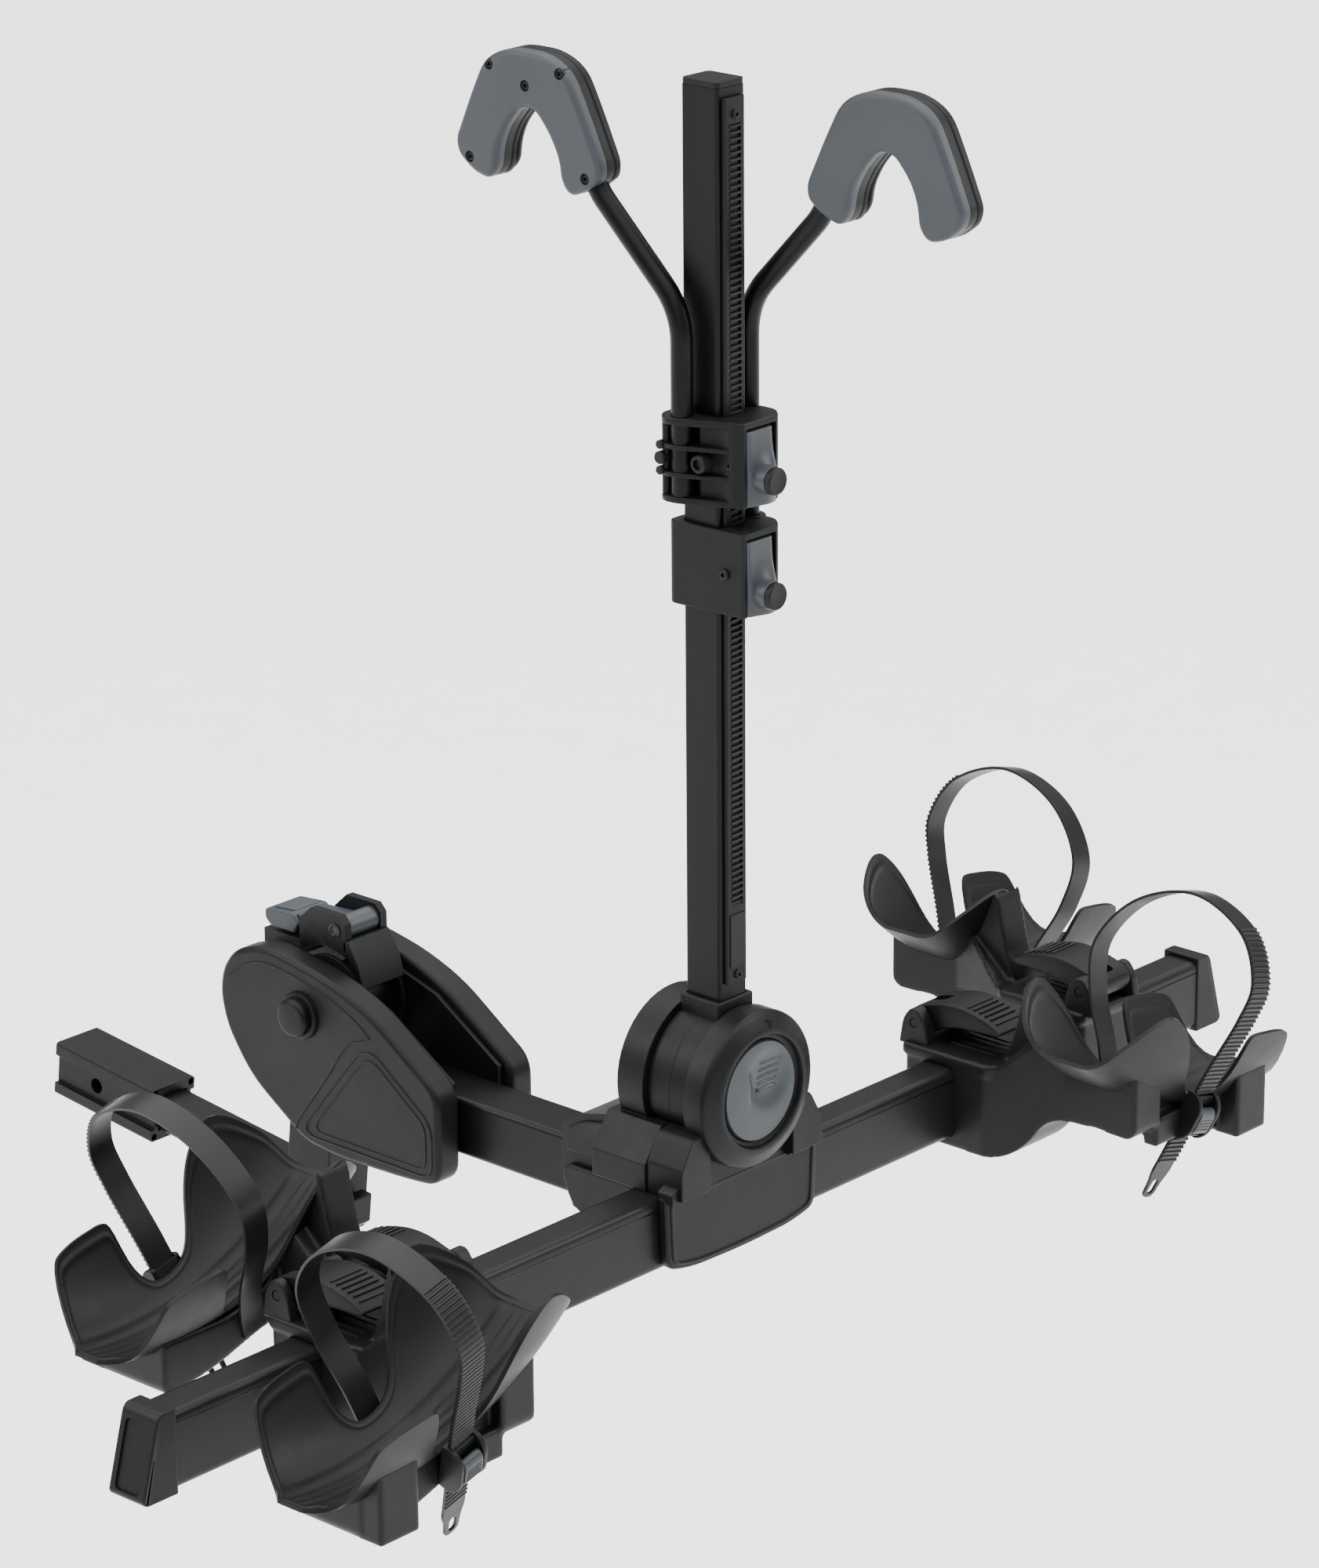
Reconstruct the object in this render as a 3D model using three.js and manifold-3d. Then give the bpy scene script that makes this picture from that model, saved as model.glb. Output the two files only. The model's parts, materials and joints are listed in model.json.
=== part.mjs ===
// Two-bike hitch mounted rack: shank, tilting platform, folding mast and four wheel trays.
// Units are millimetres, +Z is up, +Y points toward the vehicle, +X runs along the crossbar.
import * as THREE from 'three';
import { mergeVertices } from 'three/addons/utils/BufferGeometryUtils.js';
import Module from 'manifold-3d';

const wasm = await Module();
wasm.setup();

// Shank
const SHANK_TILT = 6.45;
const SLEEVE = 50.8;
const SLEEVE_REAR = -76;
const SLEEVE_FRONT = 50;
const SHANK = 32;
const SHANK_WALL = 3.2;
const PIN_HOLE_RADIUS = 7;
const POST = 50;
const POST_FRONT = -244.5;
const POST_WALL = 5;
const FIT_GAP = 0.3;

// Platform, measured from the middle of the crossbar's bottom face
const PLATFORM_Y = -720;
const PLATFORM_Z = 58;
const PIVOT_Y = 417.5;
const PIVOT_Z = 98;
const DRUM_RADIUS = 50;
const BOLT_RADIUS = 8;
const BEAM_WIDTH = 50;
const BEAM_BOTTOM = 2;
const BEAM_TOP = 52.8;
const BEAM_END = 354.5;
const BAR_HALF_LENGTH = 613;
const BAR_DEPTH = 35;
const BAR_HEIGHT = 62;
const BAR_WALL = 3;

// Mast and its hub
const HUB_Z = 137.5;
const HUB_RADIUS = 60;
const BEZEL_RADIUS = 65.5;
const BUTTON_RADIUS = 42;
const MAST_WIDTH = 32;
const MAST_DEPTH = 36.8;
const MAST_WALL = 2.5;
const MAST_FOOT = 150;
const MAST_TOP = 947.5;
const CARRIAGE_HEIGHT = 68;
const LOWER_CARRIAGE_Z = 532;
const UPPER_CARRIAGE_Z = 620;
const HOOK_TUBE_RADIUS = 8.75;
const HOOK_TUBE_OFFSET = 29.5;
const HEAD_THICKNESS = 28;
const LOCK_CORE_RADIUS = 9.4;

// Wheel trays: d runs outboard from the inboard lip, s runs away from the crossbar
const CRADLE_LENGTH = 236;
const CRADLE_CENTRE = 148;
const WHEEL_RADIUS = 290;
const WHEEL_CENTRE_D = 190;
const WHEEL_CENTRE_Z = 321;
const CRADLE_WALL = 3;
const FLANK_HEIGHT = 65;
const FLANK_POWER = 2.4;
const GROOVE_HALF = 12;
const EAR_HALF = 65;
const STRAP_LEAN = 15;
const STRAP_WIDTH = 24;
const STRAP_THICKNESS = 2.5;
const CAM_PIN_S = -30;
const CAM_PIN_Z = 90.5;

const X_AXIS = new THREE.Vector3(1, 0, 0);
const Y_AXIS = new THREE.Vector3(0, 1, 0);
const Z_AXIS = new THREE.Vector3(0, 0, 1);
const MINUS_Y = new THREE.Vector3(0, -1, 0);

function toSolid(geometry) {
  const bare = new THREE.BufferGeometry();
  bare.setAttribute('position', geometry.getAttribute('position').clone());
  if (geometry.index) {
    bare.setIndex(geometry.index.clone());
  }
  const merged = mergeVertices(bare, 1e-4);
  const source = merged.index.array;
  const triangles = [];
  for (let i = 0; i < source.length; i += 3) {
    const [a, b, c] = [source[i], source[i + 1], source[i + 2]];
    if (a !== b && b !== c && c !== a) {
      triangles.push(a, b, c);
    }
  }
  return new wasm.Manifold(new wasm.Mesh({
    numProp: 3,
    vertProperties: new Float32Array(merged.getAttribute('position').array),
    triVerts: new Uint32Array(triangles),
  }));
}

function fromSolid(solid) {
  const mesh = solid.getMesh();
  const geometry = new THREE.BufferGeometry();
  geometry.setAttribute('position', new THREE.BufferAttribute(new Float32Array(mesh.vertProperties), 3));
  geometry.setIndex(new THREE.BufferAttribute(new Uint32Array(mesh.triVerts), 1));
  geometry.computeVertexNormals();
  return geometry;
}

function join(...geometries) {
  return fromSolid(geometries.map(toSolid).reduce((sum, next) => sum.add(next)));
}

function cut(base, ...tools) {
  return fromSolid(tools.reduce((rest, tool) => rest.subtract(toSolid(tool)), toSolid(base)));
}

function box(x0, x1, y0, y1, z0, z1) {
  const geometry = new THREE.BoxGeometry(x1 - x0, y1 - y0, z1 - z0);
  geometry.translate((x0 + x1) / 2, (y0 + y1) / 2, (z0 + z1) / 2);
  return geometry;
}

// An outline in the two directions other than the axis, carried along the axis.
function prism(axis, outline, from, to) {
  const shape = Array.isArray(outline)
    ? new THREE.Shape(outline.map(([a, b]) => new THREE.Vector2(a, b)))
    : outline;
  const geometry = new THREE.ExtrudeGeometry(shape, {
    depth: to - from, bevelEnabled: false, curveSegments: 3,
  });
  if (axis === 'x') {
    geometry.applyMatrix4(new THREE.Matrix4().makeBasis(Y_AXIS, Z_AXIS, X_AXIS));
    geometry.translate(from, 0, 0);
  } else if (axis === 'y') {
    geometry.applyMatrix4(new THREE.Matrix4().makeBasis(X_AXIS, Z_AXIS, MINUS_Y));
    geometry.translate(0, to, 0);
  } else {
    geometry.translate(0, 0, from);
  }
  return geometry;
}

// A round bar along the axis; a and b are its place in the other two directions.
function rod(axis, radius, from, to, a, b, sides = 24) {
  const geometry = new THREE.CylinderGeometry(radius, radius, to - from, sides);
  const middle = (from + to) / 2;
  if (axis === 'x') {
    geometry.rotateZ(Math.PI / 2);
    geometry.translate(middle, a, b);
  } else if (axis === 'y') {
    geometry.translate(a, middle, b);
  } else {
    geometry.rotateX(Math.PI / 2);
    geometry.translate(a, b, middle);
  }
  return geometry;
}

function roundedRectangle(a0, a1, b0, b1, radius) {
  const shape = new THREE.Shape();
  shape.moveTo(a0 + radius, b0);
  shape.lineTo(a1 - radius, b0);
  shape.absarc(a1 - radius, b0 + radius, radius, -Math.PI / 2, 0, false);
  shape.lineTo(a1, b1 - radius);
  shape.absarc(a1 - radius, b1 - radius, radius, 0, Math.PI / 2, false);
  shape.lineTo(a0 + radius, b1);
  shape.absarc(a0 + radius, b1 - radius, radius, Math.PI / 2, Math.PI, false);
  shape.lineTo(a0, b0 + radius);
  shape.absarc(a0 + radius, b0 + radius, radius, Math.PI, Math.PI * 1.5, false);
  return shape;
}

function addPiece(parent, name, geometry, colour, roughness, metalness) {
  const material = new THREE.MeshStandardMaterial({ color: colour, roughness, metalness });
  const mesh = new THREE.Mesh(geometry, material);
  mesh.name = name;
  parent.add(mesh);
}

const STEEL_COAT = [0x262729, 0.45, 0.4];
const BLACK_PLASTIC = [0x2b2c2e, 0.6, 0.0];
const ALLOY_COAT = [0x333436, 0.42, 0.5];
const GREY_PLASTIC = [0x5a6168, 0.65, 0.0];
const BARE_STEEL = [0x9a9c9e, 0.35, 0.9];

const group = new THREE.Group();
group.name = 'hitch_bike_rack';

const shank = new THREE.Group();
shank.name = 'shank';
shank.rotation.x = THREE.MathUtils.degToRad(SHANK_TILT);
group.add(shank);

const platform = new THREE.Group();
platform.name = 'platform';
platform.position.set(0, PLATFORM_Y, PLATFORM_Z);
group.add(platform);

// Sleeve that fills the vehicle's receiver, with recessed sides, a pin hole and four screw ports
function hitchSleeve() {
  const half = SLEEVE / 2;
  const bore = SHANK / 2 + FIT_GAP;
  const web = half - 4;
  const ports = [[-1, -1], [1, -1], [-1, 1], [1, 1]].map(([a, b]) => (
    rod('y', 3.2, SLEEVE_REAR - 1, SLEEVE_REAR + 14, a * (half - 4.4), b * (half - 4.4), 10)));
  return cut(
    prism('y', roundedRectangle(-half, half, -half, half, 3), SLEEVE_REAR, SLEEVE_FRONT),
    box(-bore, bore, SLEEVE_REAR - 1, SLEEVE_FRONT + 1, -bore, bore),
    box(web, half + 1, SLEEVE_REAR - 1, SLEEVE_FRONT + 1, -14, 13),
    box(-half - 1, -web, SLEEVE_REAR - 1, SLEEVE_FRONT + 1, -14, 13),
    rod('x', PIN_HOLE_RADIUS, -half - 1, half + 1, 0, 0),
    ...ports,
  );
}
addPiece(shank, 'hitch_sleeve', hitchSleeve(), ...STEEL_COAT);

function shankBar() {
  const half = SHANK / 2;
  const inner = half - SHANK_WALL;
  const from = POST_FRONT + FIT_GAP;
  const to = SLEEVE_FRONT - 2;
  return cut(
    prism('y', roundedRectangle(-half, half, -half, half, 4), from, to),
    box(-inner, inner, from - 1, to + 1, -inner, inner),
    rod('x', PIN_HOLE_RADIUS, -half - 1, half + 1, 0, 0),
  );
}
addPiece(shank, 'shank_bar', shankBar(), ...STEEL_COAT);

// Centre of the tilt pivot as seen from the shank
const tilt = THREE.MathUtils.degToRad(SHANK_TILT);
const pivotRowY = PLATFORM_Y + PIVOT_Y;
const pivotRowZ = PLATFORM_Z + PIVOT_Z;
const shankPivotY = pivotRowY * Math.cos(tilt) + pivotRowZ * Math.sin(tilt);
const shankPivotZ = pivotRowZ * Math.cos(tilt) - pivotRowY * Math.sin(tilt);

// Upright post; the wall facing the vehicle is slotted so the latch can swing into it
function pivotPost() {
  const half = POST / 2;
  const inner = half - POST_WALL;
  const back = POST_FRONT - POST;
  return cut(
    box(-half, half, back, POST_FRONT, -34, 150),
    box(-inner, inner, back + POST_WALL, POST_FRONT - POST_WALL, -35, 151),
    box(-inner, inner, POST_FRONT - POST_WALL - 1, POST_FRONT + 1, 92, 151),
    rod('x', DRUM_RADIUS + FIT_GAP, -half - 1, half + 1, shankPivotY, shankPivotZ, 48),
  );
}
addPiece(shank, 'pivot_post', pivotPost(), ...STEEL_COAT);

function postHookPlate() {
  const back = POST_FRONT - POST - FIT_GAP;
  return prism('x', [
    [back, -24], [back, 2], [back - 5, 2], [back - 5, 8], [back - 17, 8], [back - 17, -18], [back - 11, -24],
  ], -13, 13);
}
addPiece(shank, 'post_hook_plate', postHookPlate(), ...STEEL_COAT);

function lockingDrum() {
  const notches = [100, 140, 190].map((angle) => {
    const turn = THREE.MathUtils.degToRad(angle);
    const notch = box(-26, 26, DRUM_RADIUS - 6, DRUM_RADIUS + 2, -6, 6);
    notch.rotateX(turn);
    notch.translate(0, shankPivotY, shankPivotZ);
    return notch;
  });
  return cut(
    rod('x', DRUM_RADIUS, -24.4, 24.4, shankPivotY, shankPivotZ, 48),
    rod('x', BOLT_RADIUS + FIT_GAP, -26, 26, shankPivotY, shankPivotZ),
    ...notches,
  );
}
addPiece(shank, 'locking_drum', lockingDrum(), ...STEEL_COAT);

function pivotBolt() {
  return join(
    rod('x', BOLT_RADIUS, -60, 66, shankPivotY, shankPivotZ),
    rod('x', 20.5, -62, -58.3, shankPivotY, shankPivotZ, 32),
    rod('x', 17, -70, -61, shankPivotY, shankPivotZ, 32),
  );
}
addPiece(shank, 'pivot_bolt', pivotBolt(), ...STEEL_COAT);

function pivotNut() {
  return cut(
    rod('x', 15, 58.3, 68, shankPivotY, shankPivotZ, 6),
    rod('x', BOLT_RADIUS + FIT_GAP, 57, 69, shankPivotY, shankPivotZ),
  );
}
addPiece(shank, 'pivot_nut', pivotNut(), ...BARE_STEEL);

// Tilting head: inner steel plates, outer covers, beam and latch housing
const HEAD_PLATE_OUTLINE = [
  [268, -6], [268, 66], [340, 112], [400, 130], [450, 142], [488, 130], [498, 96], [488, 66],
  [462, 30], [430, 2], [400, -8],
];
const COVER_OUTLINE = [
  [517.5, 93], [513, 117], [498, 133], [479, 143], [462.5, 148], [419, 142], [379, 135], [335, 119],
  [258, 67], [258, -3], [270, -16], [300, -20], [380, -22], [420, -17], [440.5, -3], [481.5, 25],
  [511, 68],
];
for (const [side, word] of [[-1, 'left'], [1, 'right']]) {
  const bore = rod('x', BOLT_RADIUS + FIT_GAP, -70, 70, PIVOT_Y, PIVOT_Z);
  const plateFrom = side > 0 ? 25.4 : -30.4;
  const coverFrom = side > 0 ? 30.7 : -58;
  const plate = cut(prism('x', HEAD_PLATE_OUTLINE, plateFrom, plateFrom + 5), bore);
  const cover = cut(prism('x', COVER_OUTLINE, coverFrom, coverFrom + 27.3), bore);
  addPiece(platform, `head_plate_${word}`, plate, ...STEEL_COAT);
  addPiece(platform, `head_cover_${word}`, cover, ...BLACK_PLASTIC);
}

function beam() {
  const half = BEAM_WIDTH / 2;
  const from = BAR_DEPTH / 2 + FIT_GAP;
  return cut(
    prism('y', roundedRectangle(-half, half, BEAM_BOTTOM, BEAM_TOP, 5), from, BEAM_END),
    box(3 - half, half - 3, from - 1, BEAM_END + 1, BEAM_BOTTOM + 3, BEAM_TOP - 3),
  );
}
addPiece(platform, 'beam', beam(), ...ALLOY_COAT);

const LATCH_Y = 407.5;
const LATCH_Z = 167;
const PLUNGER_Y = 485.5;
const PLUNGER_RADIUS = 9;

function latchHousing() {
  const cheeks = prism('x', [
    [395.5, 140], [450.5, 140], [450.5, 168], [436, 181], [402, 181], [395.5, 174],
  ], -25, 25);
  return cut(
    join(cheeks, box(-19, 19, 446, 500, 130, 146)),
    rod('x', DRUM_RADIUS + 2, -26, 26, PIVOT_Y, PIVOT_Z, 48),
    box(-17.4, 17.4, 390, 452, 155.5, 182),
    rod('x', 4.35, -26, 26, LATCH_Y, LATCH_Z, 16),
    rod('z', PLUNGER_RADIUS + 0.4, 129, 147, 0, PLUNGER_Y),
  );
}
addPiece(platform, 'latch_housing', latchHousing(), ...BLACK_PLASTIC);

function releaseLever() {
  return join(
    rod('x', 10.6, -17, 17, LATCH_Y, LATCH_Z),
    rod('x', 4, -24.6, 24.6, LATCH_Y, LATCH_Z, 16),
    box(-16, 16, LATCH_Y, 462, 158, 168),
    prism('x', [
      [459.5, 156], [464, 151], [501, 151], [505.5, 156], [505.5, 167], [500, 173], [466, 173], [459.5, 168],
    ], -26, 26),
  );
}
addPiece(platform, 'release_lever', releaseLever(), ...GREY_PLASTIC);
addPiece(platform, 'lock_plunger', rod('z', PLUNGER_RADIUS, 112, 147, 0, PLUNGER_Y), ...BARE_STEEL);

// Crossbar and its end caps
function crossbar() {
  const half = BAR_DEPTH / 2;
  return cut(
    prism('x', roundedRectangle(-half, half, 0, BAR_HEIGHT, 6), -BAR_HALF_LENGTH, BAR_HALF_LENGTH),
    box(
      -BAR_HALF_LENGTH - 1, BAR_HALF_LENGTH + 1, BAR_WALL - half, half - BAR_WALL,
      BAR_WALL, BAR_HEIGHT - BAR_WALL,
    ),
  );
}
addPiece(platform, 'crossbar', crossbar(), ...ALLOY_COAT);

for (const [side, word] of [[-1, 'left'], [1, 'right']]) {
  const inner = BAR_HALF_LENGTH + FIT_GAP;
  const outline = [[inner, -3], [645, -3], [649, 1], [632, 62], [628, 66], [inner, 66]];
  const shell = prism('y', outline.map(([a, b]) => [side * a, b]), -19, 19);
  const plug = box(Math.min(side * 590, side * 615), Math.max(side * 590, side * 615), -14, 14, 3.6, 58.4);
  addPiece(platform, `end_cap_${word}`, join(shell, plug), ...BLACK_PLASTIC);
}

// Bracket that clamps the crossbar to the beam and carries the mast hub
const SHOULDER_OUTLINE = [[50, 62.4], [86, 62.4], [86, 85], [66, 113], [50, 113]];

function shoulders(from, to) {
  return join(
    prism('y', SHOULDER_OUTLINE, from, to),
    prism('y', SHOULDER_OUTLINE.map(([a, b]) => [-a, b]), from, to),
  );
}

function bracketFront() {
  const face = [[-92, 66], [-90, 3], [-60, -3], [0, -5], [60, -3], [90, 3], [92, 66]];
  const web = [[-70, 60], [-62, 110], [62, 110], [70, 60]];
  return cut(
    join(
      prism('y', face, -27.5, -17.9),
      prism('y', web, -27.5, -22.5),
      rod('y', BEZEL_RADIUS, -46.9, -22.5, 0, HUB_Z, 48),
      shoulders(-39.5, -0.2),
    ),
    rod('y', BUTTON_RADIUS + 0.6, -48, -20, 0, HUB_Z, 48),
    rod('y', HUB_RADIUS + 1, -22.5, 1, 0, HUB_Z, 48),
  );
}
addPiece(platform, 'bracket_front', bracketFront(), ...BLACK_PLASTIC);

function bracketRear() {
  const half = BEAM_WIDTH / 2 + 0.4;
  const saddle = [
    [17.9, -4], [90, -4], [118, 4], [130, 36], [128, 76], [108, 88], [57, 100], [17.9, 100],
  ];
  return cut(
    join(
      rod('y', BEZEL_RADIUS, 20.9, 48.5, 0, HUB_Z, 48),
      shoulders(0.2, 57.5),
      prism('x', saddle, -45, 45),
    ),
    rod('y', HUB_RADIUS + 1, -1, 20.9, 0, HUB_Z, 48),
    box(-half, half, 10, 140, BEAM_BOTTOM - 0.4, BEAM_TOP + 0.4),
  );
}
addPiece(platform, 'bracket_rear', bracketRear(), ...BLACK_PLASTIC);

function releaseButton() {
  return cut(
    rod('y', BUTTON_RADIUS, -44.5, -29, 0, HUB_Z, 40),
    rod('y', 16, -46, -42, 0, HUB_Z, 24),
  );
}
addPiece(platform, 'hub_button', releaseButton(), ...GREY_PLASTIC);

// Folding mast with its hub drum, ratchet strip and cap
const MAST_HALF_X = MAST_WIDTH / 2;
const MAST_HALF_Y = MAST_DEPTH / 2;

function mastHub() {
  return cut(
    join(
      rod('y', HUB_RADIUS, -22, 20.6, 0, HUB_Z, 48),
      box(-24, 24, -22, 20.6, 180, 206),
      box(-24, 24, -25.5, 24.5, 204.5, 213),
    ),
    box(-MAST_HALF_X - 0.3, MAST_HALF_X + 0.3, -MAST_HALF_Y - 0.3, MAST_HALF_Y + 0.3, MAST_FOOT - 0.3, 214),
  );
}
addPiece(platform, 'mast_hub', mastHub(), ...BLACK_PLASTIC);

function mast() {
  const top = MAST_TOP - 5;
  return cut(
    prism('z', roundedRectangle(-MAST_HALF_X, MAST_HALF_X, -MAST_HALF_Y, MAST_HALF_Y, 3), MAST_FOOT, top),
    box(
      MAST_WALL - MAST_HALF_X, MAST_HALF_X - MAST_WALL, MAST_WALL - MAST_HALF_Y, MAST_HALF_Y - MAST_WALL,
      MAST_FOOT - 1, top + 1,
    ),
  );
}
addPiece(platform, 'mast', mast(), ...ALLOY_COAT);
addPiece(platform, 'ratchet_strip', box(-11.5, 11.5, -23, -MAST_HALF_Y - 0.3, 222, 935), ...BLACK_PLASTIC);

function mastCap() {
  return join(
    prism('z', roundedRectangle(-MAST_HALF_X, MAST_HALF_X, -MAST_HALF_Y, MAST_HALF_Y, 4), MAST_TOP - 4.7, MAST_TOP),
    box(-12.8, 12.8, -15.2, 15.2, MAST_TOP - 22, MAST_TOP - 4),
  );
}
addPiece(platform, 'mast_cap', mastCap(), ...BLACK_PLASTIC);

// Space the mast and its strip need inside a carriage
function mastPassage(z0, z1) {
  return join(
    box(-MAST_HALF_X - 0.4, MAST_HALF_X + 0.4, -MAST_HALF_Y - 0.4, MAST_HALF_Y + 0.4, z0, z1),
    box(-12, 12, -23.4, -MAST_HALF_Y, z0, z1),
  );
}

const HOOKS = [
  {
    word: 'lower', hook: 'right', side: 1, y: -9, bend: 769,
    z: LOWER_CARRIAGE_Z, tip: [-88, 852], core: 550, left: -22, corner: 5,
  },
  {
    word: 'upper', hook: 'left', side: -1, y: 6.5, bend: 770,
    z: UPPER_CARRIAGE_Z, tip: [96, 856], core: 642, left: -34, corner: 10,
  },
];

// The hook tube rises beside the mast, bends 45 degrees and runs on into its head
function hookTube(item, radius, overrun) {
  const x = item.side * HOOK_TUBE_OFFSET;
  const rise = new THREE.Vector2(item.tip[0] - item.y, item.tip[1] - item.bend).normalize();
  const lean = 26;
  const path = new THREE.CurvePath();
  const low = new THREE.Vector3(x, item.y, item.z + 2);
  const start = new THREE.Vector3(x, item.y, item.bend - lean);
  const knee = new THREE.Vector3(x, item.y, item.bend);
  const leave = new THREE.Vector3(x, item.y + rise.x * lean, item.bend + rise.y * lean);
  const end = new THREE.Vector3(x, item.tip[0] + rise.x * overrun, item.tip[1] + rise.y * overrun);
  path.add(new THREE.LineCurve3(low, start));
  path.add(new THREE.QuadraticBezierCurve3(start, knee, leave));
  path.add(new THREE.LineCurve3(leave, end));
  const circle = new THREE.Shape();
  circle.absarc(0, 0, radius, 0, Math.PI * 2, false);
  return new THREE.ExtrudeGeometry(circle, { steps: 16, curveSegments: 7, extrudePath: path });
}

const HEAD_OUTLINE = [
  [-73, 882], [-40, 945], [-15, 955], [22, 955], [45, 942], [73, 875], [60, 856], [40, 850], [27, 862],
  [20, 895], [5, 915], [-8, 915], [-22, 895], [-30, 862], [-45, 850], [-62, 862],
];

for (const item of HOOKS) {
  const out = Math.sign(item.tip[0]);
  const x = item.side * HOOK_TUBE_OFFSET;
  const top = item.z + CARRIAGE_HEIGHT;
  const shell = prism('z', roundedRectangle(item.left, 34, -40, 28, item.corner), item.z, top);
  const boss = rod('z', 14, item.z, top, x, item.y, 24);
  const tools = [
    mastPassage(item.z - 1, top + 1),
    rod('z', HOOK_TUBE_RADIUS + FIT_GAP, item.z - 1, top + 1, x, item.y, 24),
  ];
  if (item.word === 'upper') {
    const other = HOOKS[0];
    tools.push(rod('z', HOOK_TUBE_RADIUS + 0.8, item.z - 1, top + 1, HOOK_TUBE_OFFSET, other.y, 24));
    tools.push(box(HOOK_TUBE_OFFSET, 36, other.y - 9.55, other.y + 9.55, item.z - 1, top + 1));
  }
  const ears = join(
    box(-21, -15.6, -48, -36, top - 16, top - 3),
    box(15.6, 21, -48, -36, top - 16, top - 3),
  );
  const hinge = rod('x', 2.3, -22, 22, -44, top - 9, 12);
  addPiece(platform, `carriage_${item.word}`, cut(join(shell, boss, ears), ...tools, hinge), ...BLACK_PLASTIC);

  addPiece(platform, `hook_tube_${item.hook}`, hookTube(item, HOOK_TUBE_RADIUS, 22), ...ALLOY_COAT);

  const outline = HEAD_OUTLINE.map(([u, z]) => [out * (u + 155), z]);
  const head = prism('x', outline, x - HEAD_THICKNESS / 2, x + HEAD_THICKNESS / 2);
  const socket = hookTube(item, HOOK_TUBE_RADIUS + FIT_GAP, 22.4);
  addPiece(platform, `hook_head_${item.hook}`, cut(head, socket), ...GREY_PLASTIC);

  const paddle = cut(
    join(
      prism('x', [
        [-41.2, item.core - 9], [-47, item.core - 12], [-50, item.core - 8], [-50, top - 8], [-46, top - 4.4],
        [-41.6, top - 8],
      ], -15, 15),
      rod('y', 12.4, -61, -44, 0, item.core, 24),
      rod('x', 2, -20.6, 20.6, -44, top - 9, 12),
    ),
    rod('y', LOCK_CORE_RADIUS + FIT_GAP, -62, -40, 0, item.core, 24),
  );
  addPiece(platform, `squeeze_paddle_${item.word}`, paddle, ...GREY_PLASTIC);

  const core = cut(
    rod('y', LOCK_CORE_RADIUS, -65.5, -43, 0, item.core, 24),
    box(-1.2, 1.2, -66, -60, item.core - 4.5, item.core + 4.5),
  );
  addPiece(platform, `lock_core_${item.word}`, core, ...BARE_STEEL);
}

// Half the width of a wheel cradle along its length: two pairs of ears with a waist between them
const WIDTH_KNOTS = [
  [0, 52], [8, 62], [18, 65], [46, 65], [76, 50], [100, 37], [118, 35.5], [136, 42], [163, 65], [208, 65],
  [228, 42], [236, 20],
];

function cradleHalfWidth(d) {
  const next = WIDTH_KNOTS.findIndex(([at]) => at >= d);
  if (next <= 0) {
    return WIDTH_KNOTS[0][1];
  }
  const [d0, w0] = WIDTH_KNOTS[next - 1];
  const [d1, w1] = WIDTH_KNOTS[next];
  const blend = (1 - Math.cos((Math.PI * (d - d0)) / (d1 - d0))) / 2;
  return w0 + (w1 - w0) * blend;
}

function cradleHeight(d, across) {
  const groove = WHEEL_CENTRE_Z - Math.sqrt(WHEEL_RADIUS ** 2 - (d - WHEEL_CENTRE_D) ** 2);
  const beyond = Math.max(0, Math.abs(across) - GROOVE_HALF) / (EAR_HALF - GROOVE_HALF);
  return groove + FLANK_HEIGHT * beyond ** FLANK_POWER;
}

// A point the given distance above the cradle's wheel side, square to its surface
function cradlePoint(d, across, offset) {
  const step = 0.5;
  const slopeD = (cradleHeight(d + step, across) - cradleHeight(d - step, across)) / (2 * step);
  const slopeS = (cradleHeight(d, across + step) - cradleHeight(d, across - step)) / (2 * step);
  const normal = new THREE.Vector3(-slopeD, -slopeS, 1).normalize().multiplyScalar(offset);
  return new THREE.Vector3(d, CRADLE_CENTRE + across, cradleHeight(d, across)).add(normal);
}

// A sheet over the cradle's plan between two surfaces, as one closed body
function cradleSheet(upper, lower, stations, lanes) {
  const points = [];
  for (const surface of [upper, lower]) {
    for (const d of stations) {
      for (let j = 0; j <= lanes; j += 1) {
        points.push(...surface(d, ((2 * j) / lanes - 1) * cradleHalfWidth(d)).toArray());
      }
    }
  }
  const row = lanes + 1;
  const last = stations.length - 1;
  const under = row * stations.length;
  const faces = [];
  const quad = (a, b, c, d) => faces.push(a, b, c, a, c, d);
  for (let i = 0; i < last; i += 1) {
    for (let j = 0; j < lanes; j += 1) {
      const a = i * row + j;
      quad(a, a + row, a + row + 1, a + 1);
      quad(under + a, under + a + 1, under + a + row + 1, under + a + row);
    }
    const left = i * row;
    const right = left + lanes;
    quad(left, under + left, under + left + row, left + row);
    quad(right, right + row, under + right + row, under + right);
  }
  for (let j = 0; j < lanes; j += 1) {
    const end = last * row + j;
    quad(j, j + 1, under + j + 1, under + j);
    quad(end, under + end, under + end + 1, end + 1);
  }
  const geometry = new THREE.BufferGeometry();
  geometry.setAttribute('position', new THREE.Float32BufferAttribute(points, 3));
  geometry.setIndex(faces);
  return geometry;
}

const CRADLE_STATIONS = [0, 8, 18, 46, 72, 100, 118, 136, 163, 186, 208, 224, CRADLE_LENGTH];
const CRADLE_LANES = 10;

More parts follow.
